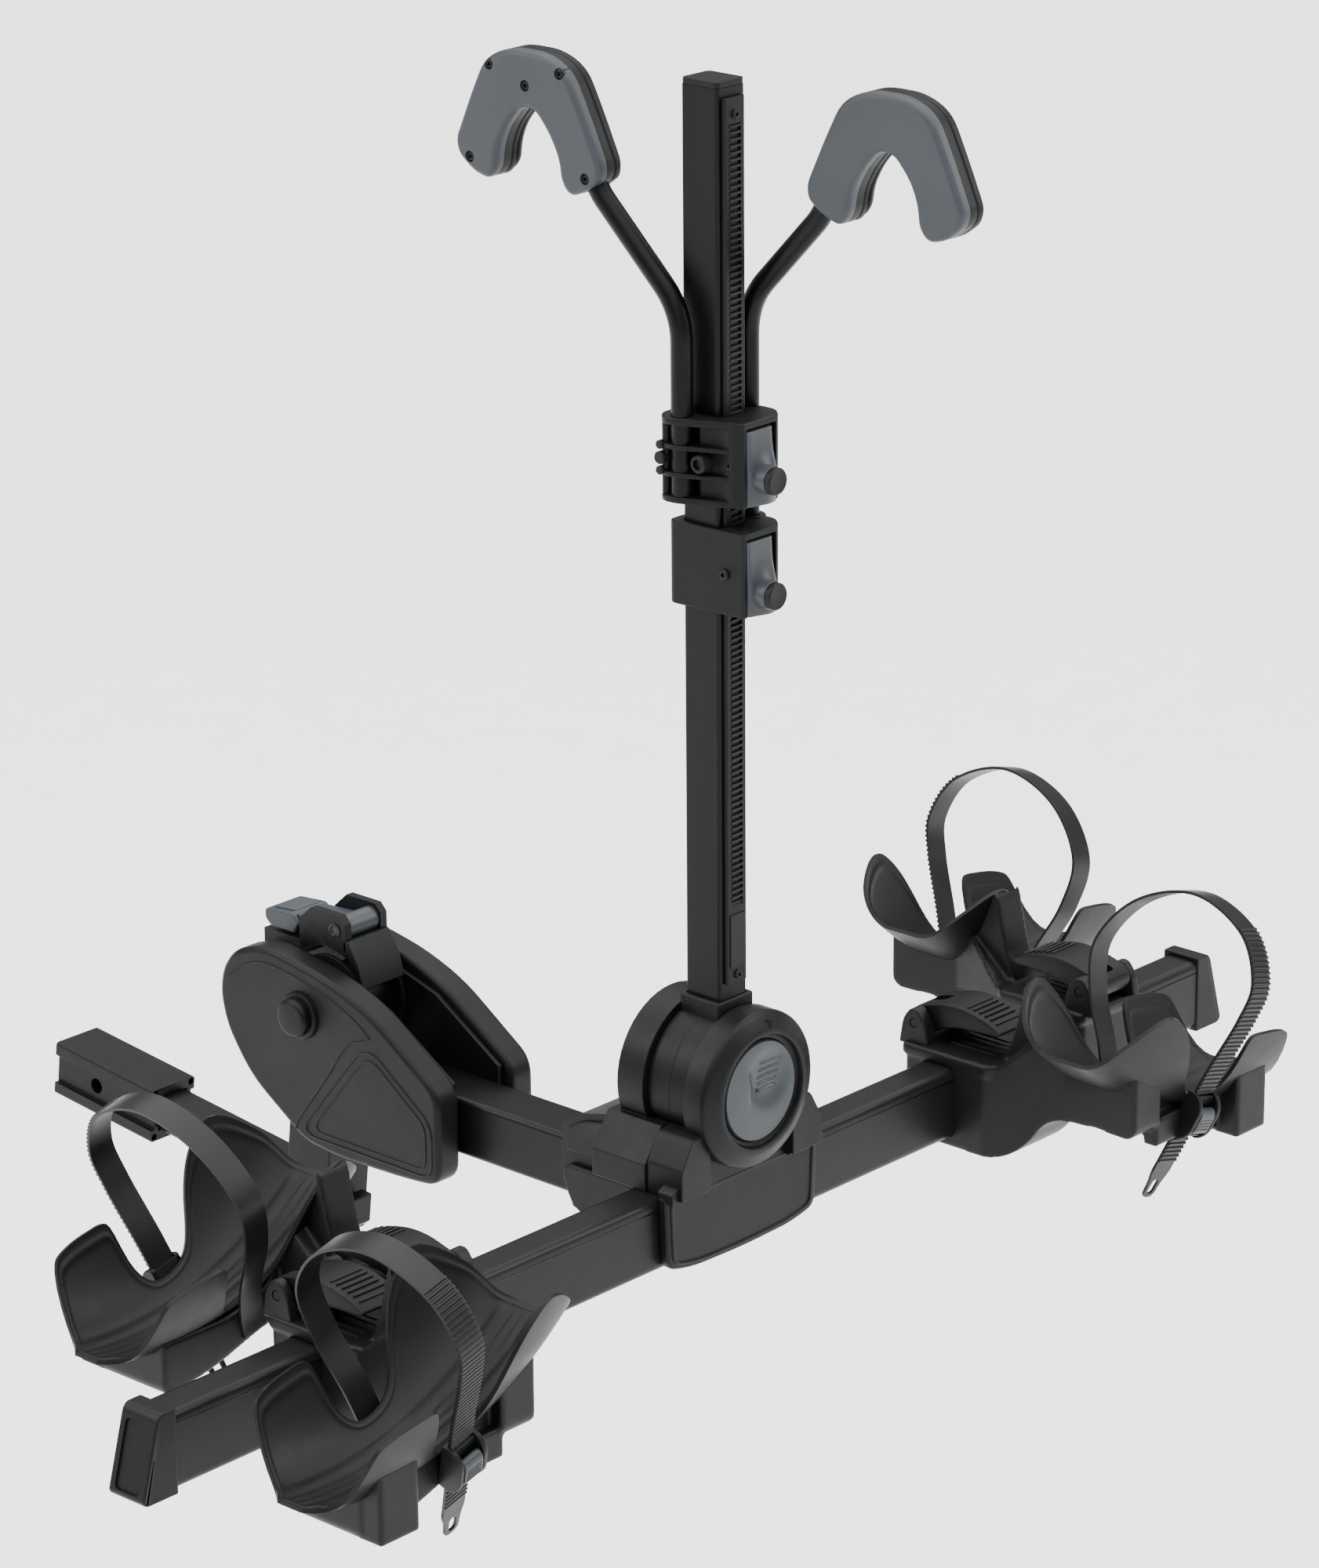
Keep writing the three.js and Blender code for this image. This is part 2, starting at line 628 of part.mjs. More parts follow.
// Trough that holds the tyre: a curved groove with flanks that rise into two pairs of ears
function cradle() {
  return cradleSheet(
    (d, across) => cradlePoint(d, across, 0),
    (d, across) => cradlePoint(d, across, -CRADLE_WALL),
    CRADLE_STATIONS, CRADLE_LANES,
  );
}

// Room above the cradle's underside, taken out of the arm that carries it
function cradleClearance() {
  return cradleSheet(
    (d, across) => new THREE.Vector3(d, CRADLE_CENTRE + across, 260),
    (d, across) => cradlePoint(d, across, -CRADLE_WALL - 0.5),
    CRADLE_STATIONS, CRADLE_LANES,
  );
}

// The strap lives in a plane that leans outboard; its outline is drawn in that plane
const lean = THREE.MathUtils.degToRad(STRAP_LEAN);
const strapFrame = new THREE.Matrix4().makeBasis(
  Y_AXIS,
  new THREE.Vector3(Math.sin(lean), 0, Math.cos(lean)),
  new THREE.Vector3(Math.cos(lean), 0, -Math.sin(lean)),
).setPosition(110, CRADLE_CENTRE, 38);

function strapPlanePrism(outline, from, to) {
  const shape = new THREE.Shape(outline.map(([a, b]) => new THREE.Vector2(a, b)));
  const geometry = new THREE.ExtrudeGeometry(shape, { depth: to - from, bevelEnabled: false });
  geometry.translate(0, 0, from);
  geometry.applyMatrix4(strapFrame);
  return geometry;
}

const STRAP_ROUTE = [
  [12, -79], [27, -40], [42, 0], [57, 40], [78, 88], [85, 122], [64, 160], [12, 180], [-44, 162],
  [-78, 120], [-74, 76], [-55, 34], [-46, 4], [-45, -14],
];

function strapBand(thickness, width) {
  const curve = new THREE.SplineCurve(STRAP_ROUTE.map(([a, b]) => new THREE.Vector2(a, b)));
  const count = 34;
  const outer = [];
  const inner = [];
  for (let i = 0; i <= count; i += 1) {
    const point = curve.getPointAt(i / count);
    const tangent = curve.getTangentAt(i / count);
    const side = new THREE.Vector2(tangent.y, -tangent.x).multiplyScalar(thickness / 2);
    outer.push([point.x + side.x, point.y + side.y]);
    inner.unshift([point.x - side.x, point.y - side.y]);
  }
  return strapPlanePrism([...outer, ...inner], -width / 2, width / 2);
}

// Buckle outline in the strap plane, given along the strap and outward from it
const strapAlong = new THREE.Vector2(15, 40).normalize();
const strapOut = new THREE.Vector2(strapAlong.y, -strapAlong.x);

function atBuckle(along, out) {
  return [42 + along * strapAlong.x + out * strapOut.x, along * strapAlong.y + out * strapOut.y];
}

function buckleBlock(grow) {
  return strapPlanePrism([
    atBuckle(-22 - grow, -5 - grow), atBuckle(22 + grow, -5 - grow), atBuckle(22 + grow, 6 + grow),
    atBuckle(14, 13 + grow), atBuckle(-18, 13 + grow), atBuckle(-22 - grow, 8 + grow),
  ], -15 - grow, 15 + grow);
}

function buckle() {
  return cut(
    buckleBlock(0),
    strapPlanePrism([atBuckle(-30, -1.9), atBuckle(30, -1.9), atBuckle(30, 1.9), atBuckle(-30, 1.9)], -12.5, 12.5),
    strapPlanePrism([atBuckle(-12.4, 5), atBuckle(12.4, 5), atBuckle(12.4, 15), atBuckle(-12.4, 15)], -9.9, 9.9),
  );
}

function buckleButton() {
  return strapPlanePrism([
    atBuckle(-12, 8.5), atBuckle(12, 8.5), atBuckle(12, 13), atBuckle(9, 15.5), atBuckle(-10, 15.5), atBuckle(-12, 13),
  ], -9.5, 9.5);
}

// Tray arm: bar clamp with cam ears, beam, stand and the base the cradle sits on
function trayArm() {
  const halfBar = BAR_DEPTH / 2 + 0.4;
  const ear = [[-43, 70], [-16, 70], [-20, 94], [-26, 101], [-34, 101], [-41, 94]];
  const spine = [
    [35, -10], [62, -7], [82, 12], [98, 36], [196, 36], [204, 44], [204, 110], [100, 110], [60, 74], [35, 74],
  ];
  const stand = [[50, 66], [66, 100], [76, 150], [84, 151], [92, 120], [104, 94], [104, 60]];
  const base = [[70, 28], [200, 0], [200, 70], [70, 80]];
  return cut(
    join(
      box(9, 78, -37, 37, -10, 74),
      box(16, 78, 30, 52, 66, 74),
      prism('x', ear, 12, 24.6),
      prism('x', ear, 69.4, 78),
      prism('x', spine, 30, 78),
      prism('x', stand, 30, 62),
      prism('y', base, 104, 184),
      box(165, 200, 180, 200, 0, 60),
    ),
    box(0, 90, -halfBar, halfBar, -0.4, BAR_HEIGHT + 0.4),
    rod('x', 4.35, 5, 90, CAM_PIN_S, CAM_PIN_Z, 16),
    cradleClearance(),
    buckleBlock(0.3),
    strapBand(STRAP_THICKNESS + 0.8, STRAP_WIDTH + 1),
  );
}

function camLever() {
  return join(
    prism('x', [
      [-40, 91], [-37, 83.5], [-30, 80.5], [-20, 82], [0, 86], [44, 93], [50, 96], [50, 101], [38, 108],
      [0, 110], [-25, 104], [-36, 99],
    ], 25, 69),
    rod('x', 4, 12.5, 77.5, CAM_PIN_S, CAM_PIN_Z, 16),
  );
}

// Turns a tray piece into the outboard and outward direction of its corner of the rack
function placed(geometry, dip, outboard, away) {
  const result = geometry.clone();
  result.scale(outboard, away, 1);
  result.translate(dip, 0, 0);
  if (outboard * away < 0) {
    const count = result.attributes.position.count;
    const index = result.index ? Array.from(result.index.array) : [...Array(count).keys()];
    for (let i = 0; i < index.length; i += 3) {
      [index[i + 1], index[i + 2]] = [index[i + 2], index[i + 1]];
    }
    result.setIndex(index);
  }
  result.computeVertexNormals();
  return result;
}

const TRAY_PIECES = [
  ['tray_arm', trayArm(), BLACK_PLASTIC],
  ['cradle', cradle(), BLACK_PLASTIC],
  ['wheel_strap', strapBand(STRAP_THICKNESS, STRAP_WIDTH), BLACK_PLASTIC],
  ['strap_buckle', buckle(), BLACK_PLASTIC],
  ['buckle_button', buckleButton(), GREY_PLASTIC],
  ['cam_lever', camLever(), BLACK_PLASTIC],
];
const TRAYS = [
  ['left_front', -385.6, -1, -1],
  ['right_front', 270, 1, -1],
  ['left_back', -311, -1, 1],
  ['right_back', 417, 1, 1],
];
for (const [corner, dip, outboard, away] of TRAYS) {
  for (const [word, geometry, look] of TRAY_PIECES) {
    addPiece(platform, `${word}_${corner}`, placed(geometry, dip, outboard, away), ...look);
  }
}

export default group;
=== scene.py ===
"""Looks for a folding hitch bike rack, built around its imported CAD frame. Shapes are drawn in millimetres."""
import json
import math

import bmesh
import bpy
from mathutils import Matrix, Vector


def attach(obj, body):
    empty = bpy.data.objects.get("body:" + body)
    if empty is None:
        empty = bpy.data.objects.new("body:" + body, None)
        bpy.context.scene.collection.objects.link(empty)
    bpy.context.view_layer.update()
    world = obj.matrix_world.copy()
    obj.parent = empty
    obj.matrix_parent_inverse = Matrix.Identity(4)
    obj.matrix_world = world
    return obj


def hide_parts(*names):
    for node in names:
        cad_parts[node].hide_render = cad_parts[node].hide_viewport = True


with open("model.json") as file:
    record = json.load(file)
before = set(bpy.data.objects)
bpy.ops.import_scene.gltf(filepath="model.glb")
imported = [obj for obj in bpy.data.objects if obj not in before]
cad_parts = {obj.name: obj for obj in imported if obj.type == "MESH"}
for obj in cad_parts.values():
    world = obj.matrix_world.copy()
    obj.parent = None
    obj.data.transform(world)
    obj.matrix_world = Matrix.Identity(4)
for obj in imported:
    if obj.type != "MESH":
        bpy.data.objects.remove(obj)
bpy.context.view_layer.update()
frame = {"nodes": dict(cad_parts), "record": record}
record = frame["record"]
BODY_OF = {n: b for b, nodes in record["behaviour"]["bodies"].items() for n in nodes}

MM = 0.001
# Placements of the two drawing frames, platform and shank, in the row frame
SHANK_TILT = math.radians(6.45)
PLATFORM = Matrix.Translation((0, -0.720, 0.058)) @ Matrix.Scale(MM, 4)
SHANK = Matrix.Rotation(SHANK_TILT, 4, "X") @ Matrix.Scale(MM, 4)
# The head bolt, (y, z), in each of those frames
PIVOT_ON_PLATFORM = (417.5, 98.0)
PIVOT_ON_SHANK = (-283.1, 189.0)
HUB_Z = 137.5
SIDES = ((-1, "left"), (1, "right"))

# ---------------------------------------------------------------- materials


def added(nodes, kind, **values):
    """A new node with the named sockets set; an underscore stands for a space."""
    node = nodes.new(kind)
    for name, value in values.items():
        node.inputs[name.replace("_", " ")].default_value = value
    return node


def surface(name, colour, roughness, metallic=0.0, grain=900.0, bump=0.25, mottle=0.16, edge_wear_and_highlight=0.3,
            shine=0.3):
    """Moulded or coated surface: fine grain, slow tone drift, uneven gloss and paler edges, partly rubbed wear
    and partly a painted edge highlight.
    """
    mat = bpy.data.materials.new(name)
    mat.use_nodes = True
    nodes, links = mat.node_tree.nodes, mat.node_tree.links
    shader = nodes["Principled BSDF"]
    shader.inputs["Metallic"].default_value = metallic
    shader.inputs["Specular IOR Level"].default_value = shine
    where = nodes.new("ShaderNodeTexCoord").outputs["Object"]

    drift = added(nodes, "ShaderNodeTexNoise", Scale=14.0, Detail=5.0)
    tone = nodes.new("ShaderNodeValToRGB")
    for stop, place, share in zip(tone.color_ramp.elements, (0.3, 0.7), (1 - mottle, 1 + mottle)):
        stop.position = place
        stop.color = (*(c * share for c in colour), 1)
    links.new(where, drift.inputs["Vector"])
    links.new(drift.outputs["Fac"], tone.inputs["Fac"])

    # Paler colour on sharp edges, found by pointiness: partly rubbed wear, partly a painted highlight along the
    # edges
    shape = nodes.new("ShaderNodeNewGeometry")
    edge = added(nodes, "ShaderNodeMapRange", From_Min=0.53, From_Max=0.62, To_Max=edge_wear_and_highlight)
    links.new(shape.outputs["Pointiness"], edge.inputs["Value"])
    worn_and_highlit_edge_mix = nodes.new("ShaderNodeMix")
    worn_and_highlit_edge_mix.data_type = "RGBA"
    pale = nodes.new("ShaderNodeRGB")
    pale.outputs[0].default_value = (*[min(1.0, c * 2.2 + 0.02) for c in colour], 1)
    links.new(edge.outputs["Result"], worn_and_highlit_edge_mix.inputs["Factor"])
    links.new(tone.outputs["Color"], worn_and_highlit_edge_mix.inputs[6])
    links.new(pale.outputs[0], worn_and_highlit_edge_mix.inputs[7])
    links.new(worn_and_highlit_edge_mix.outputs[2], shader.inputs["Base Color"])

    gloss = added(nodes, "ShaderNodeTexNoise", Scale=55.0, Detail=6.0)
    spread = added(nodes, "ShaderNodeMapRange", To_Min=max(0.05, roughness - 0.07),
                   To_Max=min(1.0, roughness + 0.08))
    links.new(where, gloss.inputs["Vector"])
    links.new(gloss.outputs["Fac"], spread.inputs["Value"])
    links.new(spread.outputs["Result"], shader.inputs["Roughness"])

    pits = added(nodes, "ShaderNodeTexNoise", Scale=grain, Detail=3.0)
    relief = added(nodes, "ShaderNodeBump", Strength=bump, Distance=0.00025)
    links.new(where, pits.inputs["Vector"])
    links.new(pits.outputs["Fac"], relief.inputs["Height"])
    links.new(relief.outputs["Normal"], shader.inputs["Normal"])
    return mat


BLACK_PLASTIC = surface("black_moulded_plastic", (0.0036, 0.0038, 0.0042), 0.44, grain=1100, bump=0.3,
                        shine=0.13)
TRAY_PLASTIC = surface("tray_plastic", (0.0044, 0.0046, 0.0050), 0.44, grain=1000, bump=0.2, shine=0.14)
ALLOY_COAT = surface("satin_coat_alloy", (0.0018, 0.0018, 0.0020), 0.36, grain=1600, bump=0.15, shine=0.12)
STEEL_COAT = surface("satin_coat_steel", (0.0026, 0.0026, 0.0028), 0.42, grain=1400, bump=0.2, shine=0.12)
GREY_SOFT = surface("blue_grey_soft_plastic", (0.024, 0.0285, 0.0335), 0.5, grain=1500, bump=0.18,
                    mottle=0.07, edge_wear_and_highlight=0.15)
GREY_BUTTON = surface("blue_grey_hard_plastic", (0.019, 0.0235, 0.0280), 0.4, grain=1500, bump=0.08,
                      mottle=0.07)
STRAP_PLASTIC = surface("strap_plastic", (0.0048, 0.0050, 0.0053), 0.38, grain=1300, bump=0.12, shine=0.2)
SCREW_STEEL = surface("black_screw_steel", (0.012, 0.012, 0.0125), 0.3, metallic=0.5, grain=1800, bump=0.1)
LOCK_BLACK = surface("lock_core_rubber", (0.0022, 0.0022, 0.0023), 0.55, grain=1800, bump=0.15, shine=0.2)
PLUNGER_GREY = surface("plunger_plastic", (0.085, 0.089, 0.093), 0.45, grain=1500, bump=0.15, mottle=0.08)

# ---------------------------------------------------------------- mesh helpers


def rounded(points, radius, steps=5):
    """Closed outline with each corner turned into an arc; radius is one number or one per corner."""
    n = len(points)
    radii = radius if isinstance(radius, (list, tuple)) else [radius] * n
    out = []
    for i in range(n):
        p, q, r = (Vector(points[(i + k) % n]).to_2d() for k in (-1, 0, 1))
        a, b = (p - q), (r - q)
        reach = min(radii[i], a.length * 0.48, b.length * 0.48)
        if radii[i] <= 0:
            out.append(tuple(q))
            continue
        s, e = q + a.normalized() * reach, q + b.normalized() * reach
        for k in range(steps + 1):
            t = k / steps
            out.append(tuple(s * (1 - t) ** 2 + q * 2 * t * (1 - t) + e * t * t))
    return out


def place_along(axis, a, b, along):
    return {"x": (along, a, b), "y": (a, along, b), "z": (a, b, along)}[axis]


def outward(bm):
    bmesh.ops.recalc_face_normals(bm, faces=bm.faces)
    return bm


def prism(axis, outline, low, high):
    """Solid with the outline as its section, between two places along the axis."""
    bm = bmesh.new()
    area = sum(outline[i - 1][0] * outline[i][1] - outline[i][0] * outline[i - 1][1]
               for i in range(len(outline)))
    points = list(outline) if area > 0 else list(outline)[::-1]
    if axis == "y":
        points = points[::-1]
    bottom = [bm.verts.new(place_along(axis, a, b, low)) for a, b in points]
    top = [bm.verts.new(place_along(axis, a, b, high)) for a, b in points]
    bm.faces.new(bottom[::-1])
    bm.faces.new(top)
    for i in range(len(points)):
        j = (i + 1) % len(points)
        bm.faces.new((bottom[i], bottom[j], top[j], top[i]))
    return bm


def box(x0, x1, y0, y1, z0, z1):
    return prism("z", [(x0, y0), (x1, y0), (x1, y1), (x0, y1)], z0, z1)


def lathe(axis, profile, a, b, sides=48):
    """profile: (radius, place along the axis) pairs; ends at radius 0 close on the axis."""
    bm = bmesh.new()
    rings = []
    for radius, along in profile:
        if radius < 1e-6:
            rings.append([bm.verts.new(place_along(axis, a, b, along))])
            continue
        ring = []
        for k in range(sides):
            t = 2 * math.pi * k / sides
            x, y = a + radius * math.cos(t), b + radius * math.sin(t)
            ring.append(bm.verts.new(place_along(axis, x, y, along)))
        rings.append(ring)
    for one, two in zip(rings, rings[1:]):
        for k in range(sides):
            j = (k + 1) % sides
            quad = [one[k % len(one)], one[j % len(one)], two[j % len(two)], two[k % len(two)]]
            unique = list(dict.fromkeys(quad))
            if len(unique) > 2:
                bm.faces.new(unique)
    if len(rings[0]) > 1 and profile[0] != profile[-1]:
        bm.faces.new(rings[0][::-1])
        bm.faces.new(rings[-1])
    bmesh.ops.remove_doubles(bm, verts=bm.verts, dist=1e-5)
    return outward(bm)


def cylinder(axis, radius, low, high, a, b, sides):
    return lathe(axis, [(0, low), (radius, low), (radius, high), (0, high)], a, b, sides)


def sweep(path, radius, sides):
    """Round bar through the points of path."""
    bm = bmesh.new()
    pts = [Vector(p) for p in path]
    normal = None
    rings = []
    for i, p in enumerate(pts):
        tangent = (pts[min(i + 1, len(pts) - 1)] - pts[max(i - 1, 0)]).normalized()
        if normal is None:
            normal = tangent.orthogonal().normalized()
        normal = (normal - tangent * normal.dot(tangent)).normalized()
        other = tangent.cross(normal)
        rings.append([bm.verts.new(p + normal * radius * math.cos(2 * math.pi * k / sides)
                                   + other * radius * math.sin(2 * math.pi * k / sides))
                      for k in range(sides)])
    for one, two in zip(rings, rings[1:]):
        for k in range(sides):
            j = (k + 1) % sides
            bm.faces.new((one[k], one[j], two[j], two[k]))
    bm.faces.new(rings[0][::-1])
    bm.faces.new(rings[-1])
    return outward(bm)


def closed_sheets(bm, top, low):
    """Closes two grids of vertices, rows by lanes, into one solid."""
    last, lanes = len(top) - 1, len(top[0]) - 1
    for i in range(last):
        for j in range(lanes):
            bm.faces.new((top[i][j], top[i + 1][j], top[i + 1][j + 1], top[i][j + 1]))
            bm.faces.new((low[i][j], low[i][j + 1], low[i + 1][j + 1], low[i + 1][j]))
        bm.faces.new((top[i][0], low[i][0], low[i + 1][0], top[i + 1][0]))
        bm.faces.new((top[i][lanes], top[i + 1][lanes], low[i + 1][lanes], low[i][lanes]))
    for j in range(lanes):
        bm.faces.new((top[0][j], top[0][j + 1], low[0][j + 1], low[0][j]))
        bm.faces.new((top[last][j], low[last][j], low[last][j + 1], top[last][j + 1]))
    return outward(bm)


def merged(*parts):
    """Several solids as one mesh, left as separate shells."""
    out = bmesh.new()
    for part in parts:
        mesh = bpy.data.meshes.new("part")
        part.to_mesh(mesh)
        part.free()
        out.from_mesh(mesh)
        bpy.data.meshes.remove(mesh)
    return out


def temp_object(bm):
    mesh = bpy.data.meshes.new("temp")
    bm.to_mesh(mesh)
    bm.free()
    obj = bpy.data.objects.new("temp", mesh)
    bpy.context.scene.collection.objects.link(obj)
    return obj


def baked(obj):
    """The object's mesh with its modifiers applied, as a new bmesh; the object goes."""
    bpy.context.view_layer.update()
    evaluated = obj.evaluated_get(bpy.context.evaluated_depsgraph_get())
    bm = bmesh.new()
    mesh = evaluated.to_mesh()
    bm.from_mesh(mesh)
    evaluated.to_mesh_clear()
    old = obj.data
    bpy.data.objects.remove(obj)
    bpy.data.meshes.remove(old)
    return bm


def boolean(target, tool, operation):
    a, b = temp_object(target), temp_object(tool)
    mod = a.modifiers.new("cut", "BOOLEAN")
    mod.operation = operation
    mod.solver = "EXACT"
    mod.object = b
    mod.use_self = True
    out = baked(a)
    mesh = b.data
    bpy.data.objects.remove(b)
    bpy.data.meshes.remove(mesh)
    return out


def carve(target, *tools):
    return boolean(target, merged(*tools), "DIFFERENCE")


def fuse(first, *others):
    return boolean(first, merged(*others), "UNION")


def edge_bevel(bm, width, segments, angle, miter="MITER_SHARP"):
    """Rounds every edge sharper than the angle, in degrees."""
    obj = temp_object(bm)
    mod = obj.modifiers.new("bevel", "BEVEL")
    mod.width = width
    mod.segments = segments
    mod.limit_method = "ANGLE"
    mod.angle_limit = math.radians(angle)
    mod.miter_outer = miter
    return baked(obj)


def joined_flats(bm, weld):
    """Welds close points and drops edges inside flat areas."""
    bmesh.ops.remove_doubles(bm, verts=bm.verts, dist=weld)
    bmesh.ops.dissolve_limit(bm, angle_limit=math.radians(0.7), verts=bm.verts, edges=bm.edges)
    return bm


def bevelled(bm, width, segments=3, angle=30):
    return edge_bevel(joined_flats(bm, 1e-4), width, segments, angle, "MITER_ARC")


def softened(bm, voxel, smooth_steps):
    """One rounded skin over joined solids, as a moulding with generous radii."""
    obj = temp_object(bm)
    remesh = obj.modifiers.new("remesh", "REMESH")
    remesh.mode = "VOXEL"
    remesh.voxel_size = voxel
    smooth = obj.modifiers.new("smooth", "SMOOTH")
    smooth.iterations = smooth_steps
    smooth.factor = 0.5
    return baked(obj)


def node_copy(node):
    """The CAD node's shape as clean faces, in the row frame in metres."""
    bm = bmesh.new()
    bm.from_mesh(frame["nodes"][node].data)
    return joined_flats(bm, 2e-6)


def piece(name, bm, placement, node, material, stands_for=(), smooth=35):
    """Puts a finished mesh into the scene on the CAD body of the given node."""
    bm.transform(placement)
    if placement.determinant() < 0:
        bmesh.ops.reverse_faces(bm, faces=bm.faces)
    bm.normal_update()
    mesh = bpy.data.meshes.new(name)
    bm.to_mesh(mesh)
    bm.free()
    mesh.shade_smooth()
    mesh.set_sharp_from_angle(angle=math.radians(smooth))
    mesh.materials.append(material)
    obj = bpy.data.objects.new(name, mesh)
    bpy.context.scene.collection.objects.link(obj)
    weighted = obj.modifiers.new("weighted", "WEIGHTED_NORMAL")
    weighted.keep_sharp = True
    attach(obj, BODY_OF[node])
    if stands_for:
        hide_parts(*stands_for)
    return obj


def skin(node, material, width):
    """The CAD shape with rounded edges; width in millimetres."""
    bm = edge_bevel(node_copy(node), width * MM, 3, 30)
    return piece(f"{node}_finish", bm, Matrix.Identity(4), node, material, (node,), 38)


def screw(axis, sign, a, b, face, radius, drive):
    """Pan head screw with a round recess, standing on a face."""
    head = [(0, -2.0), (radius, -2.0), (radius, 1.2), (radius * 0.8, 2.2), (drive, 2.4), (drive, 0.6),
            (0, 0.6)]
    return lathe(axis, [(r, face + sign * rise) for r, rise in head], a, b, 24)


# ---------------------------------------------------------------- shank
skin("hitch_sleeve", STEEL_COAT, 1.1)
skin("shank_bar", STEEL_COAT, 0.6)
skin("pivot_post", STEEL_COAT, 2.2)
skin("post_hook_plate", STEEL_COAT, 1.2)
drum = lathe("x", [
    (8.4, -24.4), (42, -24.4), (44, -23.6), (44, -20.8), (42, -20), (33, -19), (31, -17),
    (31, 17), (33, 19), (42, 20), (44, 20.8), (44, 23.6), (42, 24.4), (8.4, 24.4), (8.4, -24.4),
], *PIVOT_ON_SHANK, 72)
piece("locking_drum_spool", drum, SHANK, "locking_drum", STEEL_COAT, ("locking_drum",), 40)
skin("pivot_nut", SCREW_STEEL, 0.7)
bolt = lathe("x", [
    (0, -71.2), (13.0, -71.2), (15.0, -70.6), (16.6, -68.6), (17.0, -66.4), (17.0, -62.4), (18.6, -62.2),
    (20.2, -61.6), (20.8, -60.4), (20.8, -57.0), (8, -57.0), (8, 66), (0, 66),
], *PIVOT_ON_SHANK, 64)
piece("pivot_bolt_head", bolt, SHANK, "pivot_bolt", STEEL_COAT, ("pivot_bolt",), 40)

# ---------------------------------------------------------------- tilting head
COVER = [
    (518, 95), (513, 119), (498, 137), (462.5, 149), (419, 143), (379, 135), (335, 119),
    (258, 67), (258, -16), (300, -20), (380, -22), (420, -17), (443, -1), (483, 25), (511, 65),
]
COVER_RADII = [18, 18, 18, 22, 40, 40, 50, 16, 18, 20, 40, 26, 30, 40, 26]


COVER_INSIDE, COVER_OUTSIDE = 30.7, 58
TOP_LINE = [(506, 112), (486, 126), (460, 134), (420, 130), (382, 121), (352, 108), (336, 97)]
SWAY_LINE = [(336, 97), (346, 92), (358, 88), (370, 76), (386, 52), (404, 28), (422, 4), (428, -8)]
LATCH_PIN = (407.5, 167)


def ridge(points, side, radius=0.9):
    """Raised hairline on a cover's face."""
    return sweep([(side * (COVER_OUTSIDE + 0.05), y, z) for y, z in points], radius, 8)


def spline(points, steps=8):
    """Smooth open curve through 2D points."""
    out = []
    last = len(points) - 1
    for i in range(last):
        p = [Vector(points[max(0, min(last, i + k))]) for k in (-1, 0, 1, 2)]
        for k in range(steps):
            t = k / steps
            out.append(tuple(0.5 * ((2 * p[1]) + (p[2] - p[0]) * t
                                    + (2 * p[0] - 5 * p[1] + 4 * p[2] - p[3]) * t * t
                                    + (3 * p[1] - p[0] - 3 * p[2] + p[3]) * t ** 3)))
    out.append(tuple(points[-1]))
    return out


for side, word in SIDES:
    skin(f"head_plate_{word}", STEEL_COAT, 0.9)
    span = sorted((side * COVER_INSIDE, side * COVER_OUTSIDE))
    outer = bevelled(prism("x", rounded(COVER, COVER_RADII, 6), *span), 5.5, 5, 60)
    outer = carve(outer, cylinder("x", 8.3, -80, 80, *PIVOT_ON_PLATFORM, 32))
    lines = [ridge(spline(line), side) for line in (TOP_LINE, SWAY_LINE)]
    panel = rounded([(341, 92), (266, 38), (266, -10), (424, -10)], [24, 14, 14, 24], 8)
    inner_panel = rounded([(339, 83), (273, 35), (273, -4), (409, -4)], [18, 10, 10, 18], 8)
    lines += [ridge(line + [line[0]], side, r) for line, r in ((panel, 1.0), (inner_panel, 0.8))]
    piece(f"head_cover_{word}_shell", merged(outer, *lines), PLATFORM, f"head_cover_{word}",
          BLACK_PLASTIC, (f"head_cover_{word}",), 40)

skin("beam", ALLOY_COAT, 0.8)
skin("latch_housing", BLACK_PLASTIC, 2.0)
barrel_cap = lathe("x", [(0, -18.6), (9.8, -18.6), (10.4, -18.0), (10.4, 18.0), (9.8, 18.6), (0, 18.6)],
                   *LATCH_PIN, 40)
neck = outward(prism("x", [(407.5, 171), (410, 161), (462, 160), (462, 167)], -17, 17))
pad_profile = rounded([(461, 150), (490, 150), (497, 156), (497, 165), (463, 168), (455, 160)],
                      [3, 3, 3, 4, 3, 3], 4)
pad = bevelled(prism("x", pad_profile, -21, 21), 2.2, 4, 50)
lip_profile = rounded([(466, 165), (490, 163.5), (490, 167), (466, 169)], 1, 2)
lip = bevelled(prism("x", lip_profile, -15, 15), 0.8, 2)
piece("release_lever_pad", merged(barrel_cap, bevelled(neck, 1.2, 2), pad, lip), PLATFORM, "release_lever",
      GREY_BUTTON, ("release_lever",), 40)
plunger = lathe("z", [(0, 112), (7.5, 112), (9, 114), (9, 140), (8.6, 143), (7, 146), (4, 147), (0, 147)],
                0, 485.5, 32)
piece("lock_plunger_pin", plunger, PLATFORM, "lock_plunger", PLUNGER_GREY, ("lock_plunger",))
latch_face = [(393, 160), (381, 141), (375, 121), (378.5, 121), (384, 138), (398.5, 151), (398.5, 160)]
latch_plate = bevelled(prism("x", latch_face, -25, 25), 1.0, 3, 40)
piece("latch_front_plate", latch_plate, PLATFORM, "latch_housing", BLACK_PLASTIC, (), 35)
PIN_HEAD = [(0, 25.1), (6.2, 25.1), (6.2, 26.0), (4.6, 26.4), (4.0, 25.4), (2.2, 25.4), (2.2, 24.2),
            (0, 24.2)]
